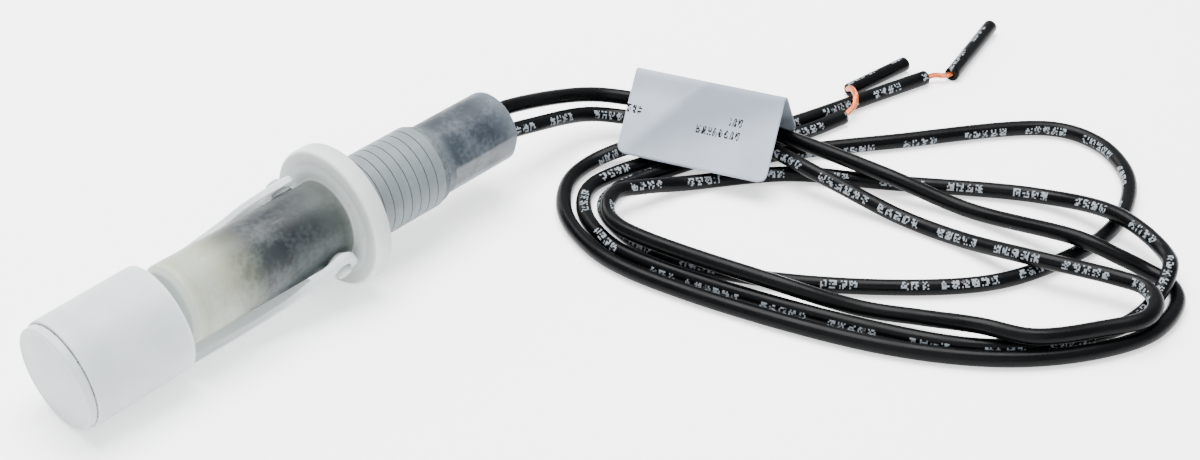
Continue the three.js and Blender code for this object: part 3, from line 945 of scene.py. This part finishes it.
# %% Twisted strands
@geometry_tree(Strands=8, Lay_Radius=0.36 * MM, Strand_Radius=0.17 * MM, Turns=1.0)
def twisted_strands(given):
    tree = given["Turns"].id_data
    evened = add_node("GeometryNodeResampleCurve", {"Curve": given["Geometry"], "Count": 40})
    names = {"Geometry": evened, "Amount": given["Strands"]}
    copies = add_node("GeometryNodeDuplicateElements", names, domain="SPLINE")
    number = copies.outputs["Duplicate Index"]
    share = add_node("GeometryNodeSplineParameter", tree=tree).outputs["Factor"]
    place = calculate("DIVIDE", number, minus(given["Strands"], 1.0))
    angle = times(plus(place, times(share, given["Turns"])), 2 * math.pi)
    reach = times(more_than(number, 0.5), given["Lay Radius"])
    normal = add_node("GeometryNodeInputNormal", tree=tree).outputs[0]
    tangent = add_node("GeometryNodeInputTangent", tree=tree).outputs[0]
    names = {0: normal, 1: tangent}
    across = add_node("ShaderNodeVectorMath", names, operation="CROSS_PRODUCT").outputs[0]
    moves = {
        i: add_node(
            "ShaderNodeVectorMath", {0: way, "Scale": times(calculate(wave, angle), reach)},
            operation="SCALE",
        )
        for i, (way, wave) in enumerate(((normal, "COSINE"), (across, "SINE")))
    }
    offset = add_node("ShaderNodeVectorMath", moves, operation="ADD")
    laid = add_node("GeometryNodeSetPosition", {"Geometry": copies, "Offset": offset})
    names = {"Resolution": 8, "Radius": given["Strand Radius"]}
    circle = add_node("GeometryNodeCurvePrimitiveCircle", names)
    names = {"Curve": laid, "Profile Curve": circle, "Fill Caps": True}
    return add_node("GeometryNodeCurveToMesh", names), finishes["bright_copper"]


STRANDS_IN = 0.7  # how far the strands reach into the insulation at each end
STRAND_STEP = 0.3
STRAND_LAY = 7.0  # length of one full turn
strand_pieces = {}
for name, route in STRAND_ROUTES.items():
    before, last = lead_paths[name][-2:]
    inner = last - (last - before).normalized() * STRANDS_IN
    end = Vector(route[-1])
    slug_way = (Vector(SLUG_ENDS[name]) - end).normalized()
    reach = [inner, *route[1:-1], end + slug_way * (SLUG_GAP + STRANDS_IN)]
    path = smooth_path(reach, STRAND_STEP)
    settings = {"Turns": path_length(path) / STRAND_LAY}
    piece = grown(f"twisted_strands_{name}", twisted_strands, settings, path)
    strand_pieces[name] = close_up(piece, 60.0)
    print(piece.name, len(piece.data.polygons), "faces")

# %% [markdown]
# ## The paper label
#
# A strip of paper is folded over the bundle like a tent card and stands on the leads. Only its
# front panel faces the viewer. Paper bends softly and never lies quite flat, so the sheet is a
# grid with a rounded fold, a slight belly and a dented crease, and Solidify gives it thickness.
# Its corners are cut round, as those of a label from a roll are. The UV map is in metres along
# and down the strip, for the marks.

# %% Paper label
LABEL = {
    "corner": (53.2, -13.6), "turn": math.radians(20.9), "length": 28.4, "foot": -8.6,
    "rise": 13.0, "drop": 13.3, "front_run": 11.0, "back_run": 8.9, "corner_radius": 1.6,
}
LABEL_COLUMNS = 72
LABEL_ROWS = 60


def label_section():
    """The strip's side view, foot to foot: two straight panels with a rounded fold between."""
    top = LABEL["foot"] + LABEL["rise"] - 0.9
    run = LABEL["front_run"]
    back = (run + LABEL["back_run"] - 0.5, top + 0.9 - LABEL["drop"] + 0.4)
    outline = [(0.35, LABEL["foot"] + 0.2), (run, top + 0.55, 1.6), back]
    knots = [Vector((x, 0.0, z)) for x, z in rounded(outline)]
    return evenly(knots, path_length(knots) / LABEL_ROWS)


def label_grid():
    section = label_section()
    place = Matrix.Translation((*LABEL["corner"], 0)) @ Matrix.Rotation(LABEL["turn"], 4, "Z")
    slant = path_length(section)
    points, faces, layout, down = [], [], [], []
    for row, spot in enumerate(section):
        share = row / (len(section) - 1)
        down.append(share * slant)
        for column in range(LABEL_COLUMNS + 1):
            along = column / LABEL_COLUMNS
            short = corner_cut(min(down[-1], slant - down[-1]))
            y = -short - along * (LABEL["length"] - 2 * short)
            belly = 0.22 * math.sin(math.pi * along) * math.sin(2 * math.pi * share)
            crease = 0.18 * math.exp(-(((along - 0.36) + 0.35 * (share - 0.30)) / 0.035) ** 2)
            dent = crease * math.exp(-(((share - 0.33) / 0.10) ** 2))
            edge = 0.15 * math.sin(5.0 * along + 3.0) * math.exp(-down[-1] / 3.0)
            z = spot.z - abs(belly) * 0.4 - dent + edge * 0.3
            points.append(place @ Vector((spot.x, y, z)))
    across = LABEL_COLUMNS + 1
    for row in range(len(section) - 1):
        for column in range(LABEL_COLUMNS):
            start = row * across + column
            faces.append((start, start + 1, start + across + 1, start + across))
            after = (row + 1, column + 1)
            for r, c in ((row, column), (row, after[1]), after, (after[0], column)):
                along = c / LABEL_COLUMNS * LABEL["length"]
                layout.append((along * MM, (slant / 2 - down[r]) * MM))
    return points, faces, layout


def corner_cut(from_foot):
    """How much shorter the strip is near its cut corners."""
    radius = LABEL["corner_radius"]
    if from_foot >= radius:
        return 0.0
    return radius - math.sqrt(radius**2 - (radius - from_foot) ** 2)


points, faces, layout = label_grid()
label = add_piece("paper_label", points, faces, label_finish, Matrix(), layout)
label.data.shade_smooth()
paper = label.modifiers.new("paper", "SOLIDIFY")
paper.thickness = 0.16 * MM
paper.offset = 0.0
print(label.name, "spans", round(LABEL["length"], 1), "mm")

# %% [markdown]
# ## The stem moulding
#
# Stem, flange, thread core, tail, hinge bosses and pins come out of one mould. The body of it is
# turned from one outline, with every edge rounded as a mould rounds it. The flat on the tail is
# made by pressing the points beyond a plane back onto it. Bosses and pins are short turned
# shapes that point along Y and start inside the stem.

# %% Stem moulding
def stem_outline():
    front, radius, chamfer = STEM["front"], STEM["radius"], STEM["chamfer"]
    ring, bore, bore_front = front + 2.6, STEM["bore"], front + STEM["wall"]
    face, back, brim = FLANGE["front"], FLANGE["back"], FLANGE["radius"]
    collar, root, top = THREAD["collar"], THREAD["root"], THREAD["crest"] + 0.05
    last, flat, end, tail = THREAD["end"], TAIL["flat_start"], TAIL["end"], TAIL["radius"]
    return rounded([
        (front, 0.0), (front, radius - chamfer, 0.3), (front + chamfer, radius, 0.3),
        (ring - 0.12, radius), (ring, radius - 0.03), (ring + 0.12, radius),
        *evenly_between((ring + 0.6, radius), (face - 0.8, radius), 20),
        (face, radius, 0.5), (face, 9.75), (face + 0.07, 9.95), (face, 10.15), (face, brim, 0.95),
        (back, brim, 0.75), (back, top, 0.15), (collar, top, 0.15), (collar, root, 0.15),
        *evenly_between((collar + 0.4, root), (last - 0.4, root), 20),
        (last, root, 0.2), (last + 0.6, tail, 0.2), (flat - 0.05, tail), (flat, tail),
        *evenly_between((flat + 0.5, tail), (end - 0.9, tail), 16),
        (end, tail, 0.55), (end, bore, 0.2), (end - 2.0, bore), (bore_front, bore),
        (bore_front, 0.0),
    ])


def evenly_between(first, last, count):
    return [
        (first[0] + (last[0] - first[0]) * i / count, first[1] + (last[1] - first[1]) * i / count)
        for i in range(count + 1)
    ]


def with_flat(points):
    """Presses the tail's points beyond the flat back onto it."""
    height = TAIL["radius"] - TAIL["flat_depth"]
    pressed = []
    for point in points:
        spot = Vector(point)
        beyond = FLAT_OUTWARD.dot(spot) - height
        if spot.x >= TAIL["flat_start"] - 0.01 and beyond > 0:
            spot -= FLAT_OUTWARD * beyond
        pressed.append(spot)
    return pressed


def hinge_side(sign):
    """A boss and a pin that point to one side."""
    shapes = [
        (5.0, PIN["boss_face"], PIN["boss_radius"], 0.3, 48),
        (6.0, PIN["tip"], PIN["radius"], 0.45, 40),
    ]
    points, faces = joined(*(
        spun(rounded([(root, 0.0), (root, radius), (tip, radius, corner), (tip, 0.0)]), sides)
        for root, tip, radius, corner, sides in shapes
    ))
    return [(PIVOT_X + y, sign * x, z) for x, y, z in points], faces


body_points, body_faces = spun(stem_outline())
shapes = [(with_flat(body_points), body_faces), hinge_side(1), hinge_side(-1)]


def between_0_and_1(value):
    return max(0.0, min(1.0, value))


def stem_glow(point):
    """Light comes in round the tip, and less of it further back."""
    return between_0_and_1((STEM["front"] + 2.2 - point.x) / 2.0) * 0.55


stem = add_piece("stem_moulding", *joined(*shapes), stem_finish, glow=stem_glow, sharp=42.0)
print(stem.name, len(stem.data.polygons), "faces")

# %% [markdown]
# ## The thread with Geometry Nodes
#
# A thread is a helix with one section all the way, which is what a spiral curve and a profile
# curve give. The profile is the real one: a flank on each side and a narrow flat crest. The
# curve's normals are set to "Z up", so the profile keeps facing outwards, and the curve's radius
# fades the ridge out at both ends, as a mould runs a thread out. The helix grows along Z, so the
# last node but two turns it onto the X axis.

# %% Thread ridge
THREAD_PROFILE = [  # outwards from the root and along the thread, in mm
    (-0.35, -0.92), (0.0, -0.86), (0.66, -0.56), (0.80, -0.44), (0.85, -0.28), (0.85, 0.28),
    (0.80, 0.44), (0.66, 0.56), (0.0, 0.86), (-0.35, 0.92),
]


profile = path_curve("thread_profile", [Vector((out, along, 0)) for out, along in THREAD_PROFILE])
profile.data.splines[0].use_cyclic_u = True


@geometry_tree(Root_Radius=7.15 * MM, Pitch=2.0 * MM, Turns=8.0, Start=1.0 * MM, Run_Out=0.02)
def thread_ridge(given):
    tree = given["Turns"].id_data
    radius, run_out = given["Root Radius"], given["Run Out"]
    height = times(given["Pitch"], given["Turns"])
    names = {"Resolution": 96, "Rotations": given["Turns"], "Start Radius": radius,
             "End Radius": radius, "Height": height}
    helix = add_node("GeometryNodeCurveSpiral", names)
    facing = add_node("GeometryNodeSetCurveNormal", {"Curve": helix}, mode="Z_UP")
    share = add_node("GeometryNodeSplineParameter", tree=tree).outputs["Factor"]
    rising, falling = (
        calculate("DIVIDE", left, run_out, clamp=True) for left in (share, minus(1.0, share))
    )
    fade = times(rising, falling)
    faded = add_node("GeometryNodeSetCurveRadius", {"Curve": facing, "Radius": fade})
    outline = add_node("GeometryNodeObjectInfo", {"Object": profile}, tree).outputs["Geometry"]
    names = {"Curve": faded, "Profile Curve": outline, "Fill Caps": True, "Scale": fade}
    ridge = add_node("GeometryNodeCurveToMesh", names)
    start = add_node("ShaderNodeCombineXYZ", {0: given["Start"]})
    names = {"Geometry": ridge, "Rotation": (0, math.pi / 2, 0), "Translation": start}
    return add_node("GeometryNodeTransform", names), stem_finish


turns = (THREAD["end"] - THREAD["collar"] - 1.2) / THREAD["pitch"]
ridge = grown("thread_ridge", thread_ridge, {
    "Turns": turns, "Start": (THREAD["collar"] + 0.6) * MM, "Pitch": THREAD["pitch"] * MM,
    "Root Radius": THREAD["root"] * MM,
})
bpy.data.objects.remove(profile)
ridge.data.transform(roll_matrix)
close_up(ridge, 25.0)
print(ridge.name, len(ridge.data.polygons), "faces,", round(turns, 1), "turns")

# %% [markdown]
# ## The float
#
# The cap and its front disc are turned. The trough with its two arms isn't: it is a half tube
# whose top edge falls from the hinge lugs to the cap. It is laid out in side view as a grid, and
# each point of that view is placed on the outer and on the inner cylinder. Round the pin hole
# the grid changes to rings, so the hole and the lug are truly round. A Bevel modifier softens
# the rims.

# %% Cap and end disc
def cap_outline():
    rear_wall = CAP["rear"] - CAP["wall"]
    inner = CAP["radius"] - CAP["wall"]
    return rounded([
        (CAP["rear"], 0.0), (CAP["rear"], CAP["radius"], 0.4),
        *evenly_between((CAP["rear"] - 0.9, CAP["radius"]), (CAP["lip"] + 0.9, CAP["radius"]), 24),
        (CAP["lip"], CAP["radius"], 0.3), (CAP["lip"], inner), (rear_wall, inner), (rear_wall, 0.0),
    ])


def disc_outline():
    front = CAP["front"]
    back = CAP["lip"] - 0.15
    return rounded([
        (front, 0.0), (front, 7.9), (front + 0.05, 8.02), (front, 8.14), (front, 9.0, 0.45),
        (back, 9.0, 0.15), (back, 7.75), (back + 3.2, 7.75, 0.3), (back + 3.2, 6.35, 0.3),
        (back, 6.35), (back, 0.0),
    ])


def cap_glow(point):
    """The cap lets some light through, and its rear edge more."""
    near_rear = between_0_and_1((point.x - CAP["rear"] + 6.0) / 6.0)
    at_rear = between_0_and_1((point.x - CAP["rear"] + 0.5) / 0.5)
    return 0.12 + 0.22 * near_rear**2 + 0.35 * at_rear


hanging = (float_finish, pivot_matrix)
cap = add_piece("float_cap", *spun(cap_outline()), *hanging, glow=cap_glow, sharp=42.0)
disc_shape = spun(disc_outline())
disc = add_piece("float_front_disc", *disc_shape, *hanging, glow=lambda point: 0.05, sharp=42.0)

# %% Trough and arms
TOP_EDGE = [  # x and height of the arm's top edge
    (-38.6, -4.8), (-32.0, -3.9), (-25.9, -2.5), (-18.5, -0.9), (-14.6, 0.9), (-11.7, 1.95),
    (-8.955, 2.737),
]
LUG_BOTTOM = math.radians(-155.0)
LUG_TOP = math.radians(118.0)
TROUGH_COLUMNS = 64
WALL_ROWS = 3
FLOOR_ROWS = 44
LUG_RINGS = 3
LUG_STEPS = 44
SKINS = (ARM["outer"] - 0.02, ARM["inner"])


def top_edge_height(x):
    """Height of the arm's top edge at x, on a smooth curve through the known heights."""
    ends = [TOP_EDGE[0], *TOP_EDGE, TOP_EDGE[-1]]
    for (x0, z0), (x1, z1), (x2, z2), (x3, z3) in zip(ends, ends[1:], ends[2:], ends[3:]):
        if x1 <= x <= x2 and x2 > x1:
            t = (x - x1) / (x2 - x1)
            m1 = (z2 - z0) / (x2 - x0) * (x2 - x1)
            m2 = (z3 - z1) / (x3 - x1) * (x2 - x1)
            return (
                (2 * t**3 - 3 * t**2 + 1) * z1 + (t**3 - 2 * t**2 + t) * m1
                + (3 * t**2 - 2 * t**3) * z2 + (t**3 - t**2) * m2
            )
    return TOP_EDGE[-1][1]


def wall_rows(x):
    """Heights from the top edge down the upper part of a side wall at x."""
    top = top_edge_height(x)
    near_end = between_0_and_1((x - ARM["floor_end"] + 6.0) / 6.0)
    low = (top - 2.4) * (1 - near_end) + ARM["lug"] * math.sin(LUG_BOTTOM) * near_end
    return [top + (low - top) * row / WALL_ROWS for row in range(WALL_ROWS + 1)]


def around(x, radius):
    """One cross-section of the trough: near wall from its top down, floor, far wall up."""
    heights = wall_rows(x)
    start = math.asin(heights[-1] / radius)
    ring = [(x, -math.sqrt(radius**2 - z**2), z) for z in heights]
    for row in range(1, FLOOR_ROWS):
        angle = math.pi - start + (math.pi + 2 * start) * row / FLOOR_ROWS
        ring.append((x, radius * math.cos(angle), radius * math.sin(angle)))
    ring += [(x, math.sqrt(radius**2 - z**2), z) for z in reversed(heights)]
    return ring


def quads(first, second):
    return [(first[i], first[i + 1], second[i + 1], second[i]) for i in range(len(first) - 1)]


def two_skins(rings_at, closed=False):
    """The outer and the inner skin of a shape, from the rings that it has at each radius."""
    points, faces, skins = [], [], []
    for radius in SKINS:
        rings = []
        for ring in rings_at(radius):
            row = list(range(len(points), len(points) + len(ring)))
            rings.append([*row, row[0]] if closed else row)
            points += ring
        for ring, following in zip(rings, rings[1:]):
            faces += quads(ring, following)
        skins.append(rings)
    return points, faces, *skins


def trough():
    """The half tube with its wall, open at the end where the lugs start."""
    first, last = TOP_EDGE[0][0], ARM["floor_end"]
    columns = [
        first + (last - first) * column / TROUGH_COLUMNS for column in range(TROUGH_COLUMNS + 1)
    ]
    points, faces, outer, inner = two_skins(lambda radius: [around(x, radius) for x in columns])
    for end in (0, -1):
        faces += quads([ring[end] for ring in outer], [ring[end] for ring in inner])
    faces += quads(outer[0], inner[0])
    floor = slice(WALL_ROWS, WALL_ROWS + FLOOR_ROWS + 1)
    faces += quads(outer[-1][floor], inner[-1][floor])
    return points, faces


def lug_boundary():
    """Side view of a lug's edge, as (x, z): down its joint with the trough, round, and back."""
    edge = [(ARM["floor_end"], z) for z in wall_rows(ARM["floor_end"])]
    for step in range(1, LUG_STEPS + 1):
        angle = LUG_BOTTOM + (LUG_TOP - LUG_BOTTOM) * step / LUG_STEPS
        edge.append((PIVOT_X + ARM["lug"] * math.cos(angle), ARM["lug"] * math.sin(angle)))
    middle = (PIVOT_X + ARM["lug"] * math.cos(LUG_TOP) + ARM["floor_end"]) / 2
    edge.append((middle, top_edge_height(middle)))
    return edge


def lug_ring(sign, radius, share):
    """One ring of a lug, from the pin hole at share 0 to the lug's edge at share 1."""
    ring = []
    for x, z in lug_boundary():
        away = Vector((x - PIVOT_X, z))
        spot = away.normalized() * ARM["hole"] * (1 - share) + away * share
        ring.append((PIVOT_X + spot.x, sign * math.sqrt(radius**2 - spot.y**2), spot.y))
    return ring


def lug(sign):
    """One lug: rings between the pin hole and its boundary, on both cylinders."""
    shares = [ring / LUG_RINGS for ring in range(LUG_RINGS + 1)]
    points, faces, outer, inner = two_skins(
        lambda radius: [lug_ring(sign, radius, share) for share in shares], closed=True
    )
    faces += quads(outer[0], inner[0])
    faces += quads(outer[-1][WALL_ROWS:], inner[-1][WALL_ROWS:])
    return points, faces


def arm_glow(point):
    """The inside of the trough is lit through its wall."""
    return 1.0 if math.hypot(point.y, point.z) < (ARM["inner"] + ARM["outer"]) / 2 else 0.3


shapes = joined(trough(), lug(1), lug(-1))
arms = add_piece("float_trough", *shapes, *hanging, glow=arm_glow, sharp=42.0)
soften = arms.modifiers.new("soft rims", "BEVEL")
soften.width = 0.28 * MM
soften.segments = 3
soften.limit_method = "ANGLE"
soften.angle_limit = math.radians(50.0)
print(arms.name, len(arms.data.polygons), "faces")

# %% [markdown]
# ## Weld flash on the cap
#
# The front disc is welded to the cap, and the weld leaves a broken ring of tiny flakes at the
# seam. Scattering is what Geometry Nodes are for: points are set round a circle, some are thrown
# away, and each of the others gets a small squashed ball of its own size. The seed is fixed.

# %% Weld flash
@geometry_tree(Ring_Radius=9.0 * MM, Flakes=150, Flake_Size=0.12 * MM, Share_Kept=0.3, Seed=4)
def weld_flash(given):
    seed = given["Seed"]
    names = {"Resolution": 128, "Radius": given["Ring Radius"]}
    ring = add_node("GeometryNodeCurvePrimitiveCircle", names)
    names = {"Curve": ring, "Count": given["Flakes"]}
    spots = add_node("GeometryNodeCurveToPoints", names, mode="COUNT")
    names = {"Probability": given["Share Kept"], "Seed": seed}
    keep = add_node("FunctionNodeRandomValue", names, data_type="BOOLEAN").outputs[3]
    names = {"Subdivisions": 2, "Radius": given["Flake Size"]}
    ball = add_node("GeometryNodeMeshIcoSphere", names)
    names = {0: (0.35, 0.35, 0.5), 1: (1.2, 1.6, 1.5), "Seed": seed}
    size = add_node("FunctionNodeRandomValue", names, data_type="FLOAT_VECTOR")
    names = {"Points": spots, "Selection": keep, "Instance": ball, "Scale": size,
             "Rotation": spots.outputs["Rotation"]}
    return add_node("GeometryNodeInstanceOnPoints", names), finishes["weld_flash"]


flash = grown("weld_flash", weld_flash, {"Ring Radius": 8.98 * MM})
SEAM_INSET = 0.1
seam_x = (CAP["lip"] - SEAM_INSET) * MM
seam = Matrix.Translation((seam_x, 0, 0)) @ Matrix.Rotation(math.pi / 2, 4, "Y")
flash.data.transform(hung(PIVOT_X * MM) @ seam)
close_up(flash, 60.0)
print(flash.name, len(flash.data.polygons), "faces")

# %% [markdown]
# ## Resin at the tail
#
# Resin closes the tail. It sets with a slightly hollow face and climbs a little up each lead. A
# small lump of it has run out along the upper lead. The plug is a turned shape; the lump is a
# ball whose points are moved in and out with a fixed sum of waves.

# %% Tail plug and root lump
def plug_outline():
    rear = TAIL["end"] - 0.55
    radius = STEM["bore"] - 0.1
    return [
        (rear - 5.0, 0.0), (rear - 5.0, radius), (rear + 0.12, radius), (rear, radius - 0.35),
        (rear - 0.12, radius - 1.2), (rear - 0.1, 2.9), (rear + 0.1, 2.2), (rear + 0.15, 0.0),
    ]


plug_shape = spun(plug_outline(), 72)
plug = add_piece("potting_plug", *plug_shape, finishes["potting_resin"], sharp=50.0)


def root_lump():
    """A lumpy sleeve of resin round the upper lead where it leaves the tail."""
    outline = [
        (34.9, 0.0), (34.9, 2.3), (35.9, 2.35), (36.7, 2.05), (37.3, 1.75), (37.7, 1.45),
        (37.75, 0.0),
    ]
    points, faces = spun(outline, 40)
    moved = []
    for x, y, z in points:
        angle = math.atan2(z, y)
        swell = 1 + 0.08 * math.sin(3 * angle + 1.7 * x) + 0.05 * math.sin(7 * angle - 2.3 * x)
        moved.append((x + 0.12 * math.sin(2 * angle), 1.2 + y * swell, 1.35 + z * swell))
    return moved, faces


lump = add_piece("root_resin_lump", *root_lump(), finishes["root_resin"], Matrix(), sharp=60.0)

# %% [markdown]
# ## What is inside
#
# The reed, its leads, the solder joints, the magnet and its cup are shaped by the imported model
# already, and hardly show. They keep their shapes and get a proper finish each.

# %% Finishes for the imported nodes
INSIDE = {
    finishes["reed_glass"]: ["reed_glass"],
    finishes["reed_metal"]: ["reed_lead_front", "reed_lead_rear", "return_lead"],
    finishes["solder"]: ["solder_joint_a", "solder_joint_b"],
    finishes["bright_copper"]: ["inner_core_a", "inner_core_b"],
    finishes["potting_resin"]: ["inner_wire_a", "inner_wire_b"],
    finishes["ferrite"]: ["float_magnet"],
    float_finish: ["magnet_holder"],
}
for finish, names in INSIDE.items():
    for name in names:
        materials = frame["nodes"][name].data.materials
        materials.clear()
        materials.append(finish)
print(sum(map(len, INSIDE.values())), "packed nodes have their finish")

# %% [markdown]
# ## Fastening the pieces to the frame
#
# Each piece rides on the body that it belongs to and stands for the imported nodes that it replaces.

# %% Ride and replace
def fasten(piece, body, slot, *nodes):
    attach(piece, body)
    if nodes:
        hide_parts(*nodes)


for piece in (stem, ridge):
    fasten(piece, "stem", "stem_plastic", "stem_body")
for piece in (cap, arms):
    fasten(piece, "float", "float_plastic", "float_shell")
for piece in (disc, flash):
    fasten(piece, "float", "float_plastic", "float_end_disc")
fasten(plug, "stem", "potting_resin", "tail_potting")
fasten(lump, "stem", "potting_resin")
fasten(label, "stem", "label_paper", "folded_label")
for name, piece in lead_pieces.items():
    fasten(piece, "stem", "wire_insulation", f"lead_{name}")
    fasten(strand_pieces[name], "stem", "bare_copper", f"bare_strands_{name}")
    fasten(slug_pieces[name], "stem", "wire_insulation", f"insulation_slug_{name}")
    path = lead_paths[name]
    [value * MM for value in path[0]]
    path_length(path) * MM
    [[value * MM for value in point] for point in path]

# %% [markdown]
# ## Table and light
#
# A pale table and soft light, as in a small studio: one large panel overhead that draws the long
# soft highlights on the leads, a weaker one from the front left, one from behind to lighten the
# edges of the milky plastic, and a pale surround that fills the shadows.

# %% Table and light
HALF_TABLE = 3.0
floor_mesh = bpy.data.meshes.new("table")
corners = [(HALF_TABLE * x, HALF_TABLE * y) for x, y in ((-1, -1), (1, -1), (1, 1), (-1, 1))]
floor_mesh.from_pydata([(x, y, SURFACE_Z * MM) for x, y in corners], [], [(0, 1, 2, 3)])
floor_mesh.materials.append(new_material(
    "pale_table", 0.9, Base_Color=shade(0.93, 0.93, 0.93), Emission_Color=shade(1.0, 1.0, 1.0),
    Emission_Strength=0.9,
)[0])
add_object("table", floor_mesh)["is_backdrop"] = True

world = bpy.data.worlds.new("studio")
world.use_nodes = True
surround = world.node_tree.nodes["Background"].inputs
surround["Color"].default_value = shade(0.95, 0.97, 1.0)
surround["Strength"].default_value = 1.1
bpy.context.scene.world = world

PANELS = [  # name, place in metres, size in metres, watts
    ("overhead", (0.10, 0.10, 0.70), 0.60, 22.0),
    ("front_left", (-0.60, -0.45, 0.45), 0.90, 5.0),
    ("behind", (0.10, 0.75, 0.40), 0.50, 6.0),
]
LIT_SPOT = Vector((0.03, -0.04, 0.0))
for name, place, size, watts in PANELS:
    light = bpy.data.lights.new(name, "AREA")
    light.energy = watts
    light.size = size
    aim(add_object(name, light), place, LIT_SPOT - Vector(place))
print("panels:", [panel[0] for panel in PANELS])

# %% [markdown]
#
# The sizes of the imported model's box and of the visual model's box are printed.

seen_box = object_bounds()
boxes = {"cad": [list(corner) for corner in cad_box], "visual": [list(corner) for corner in seen_box]}
for key, (low, high) in boxes.items():
    print(key, [round(1000 * (b - a), 2) for a, b in zip(low, high)])
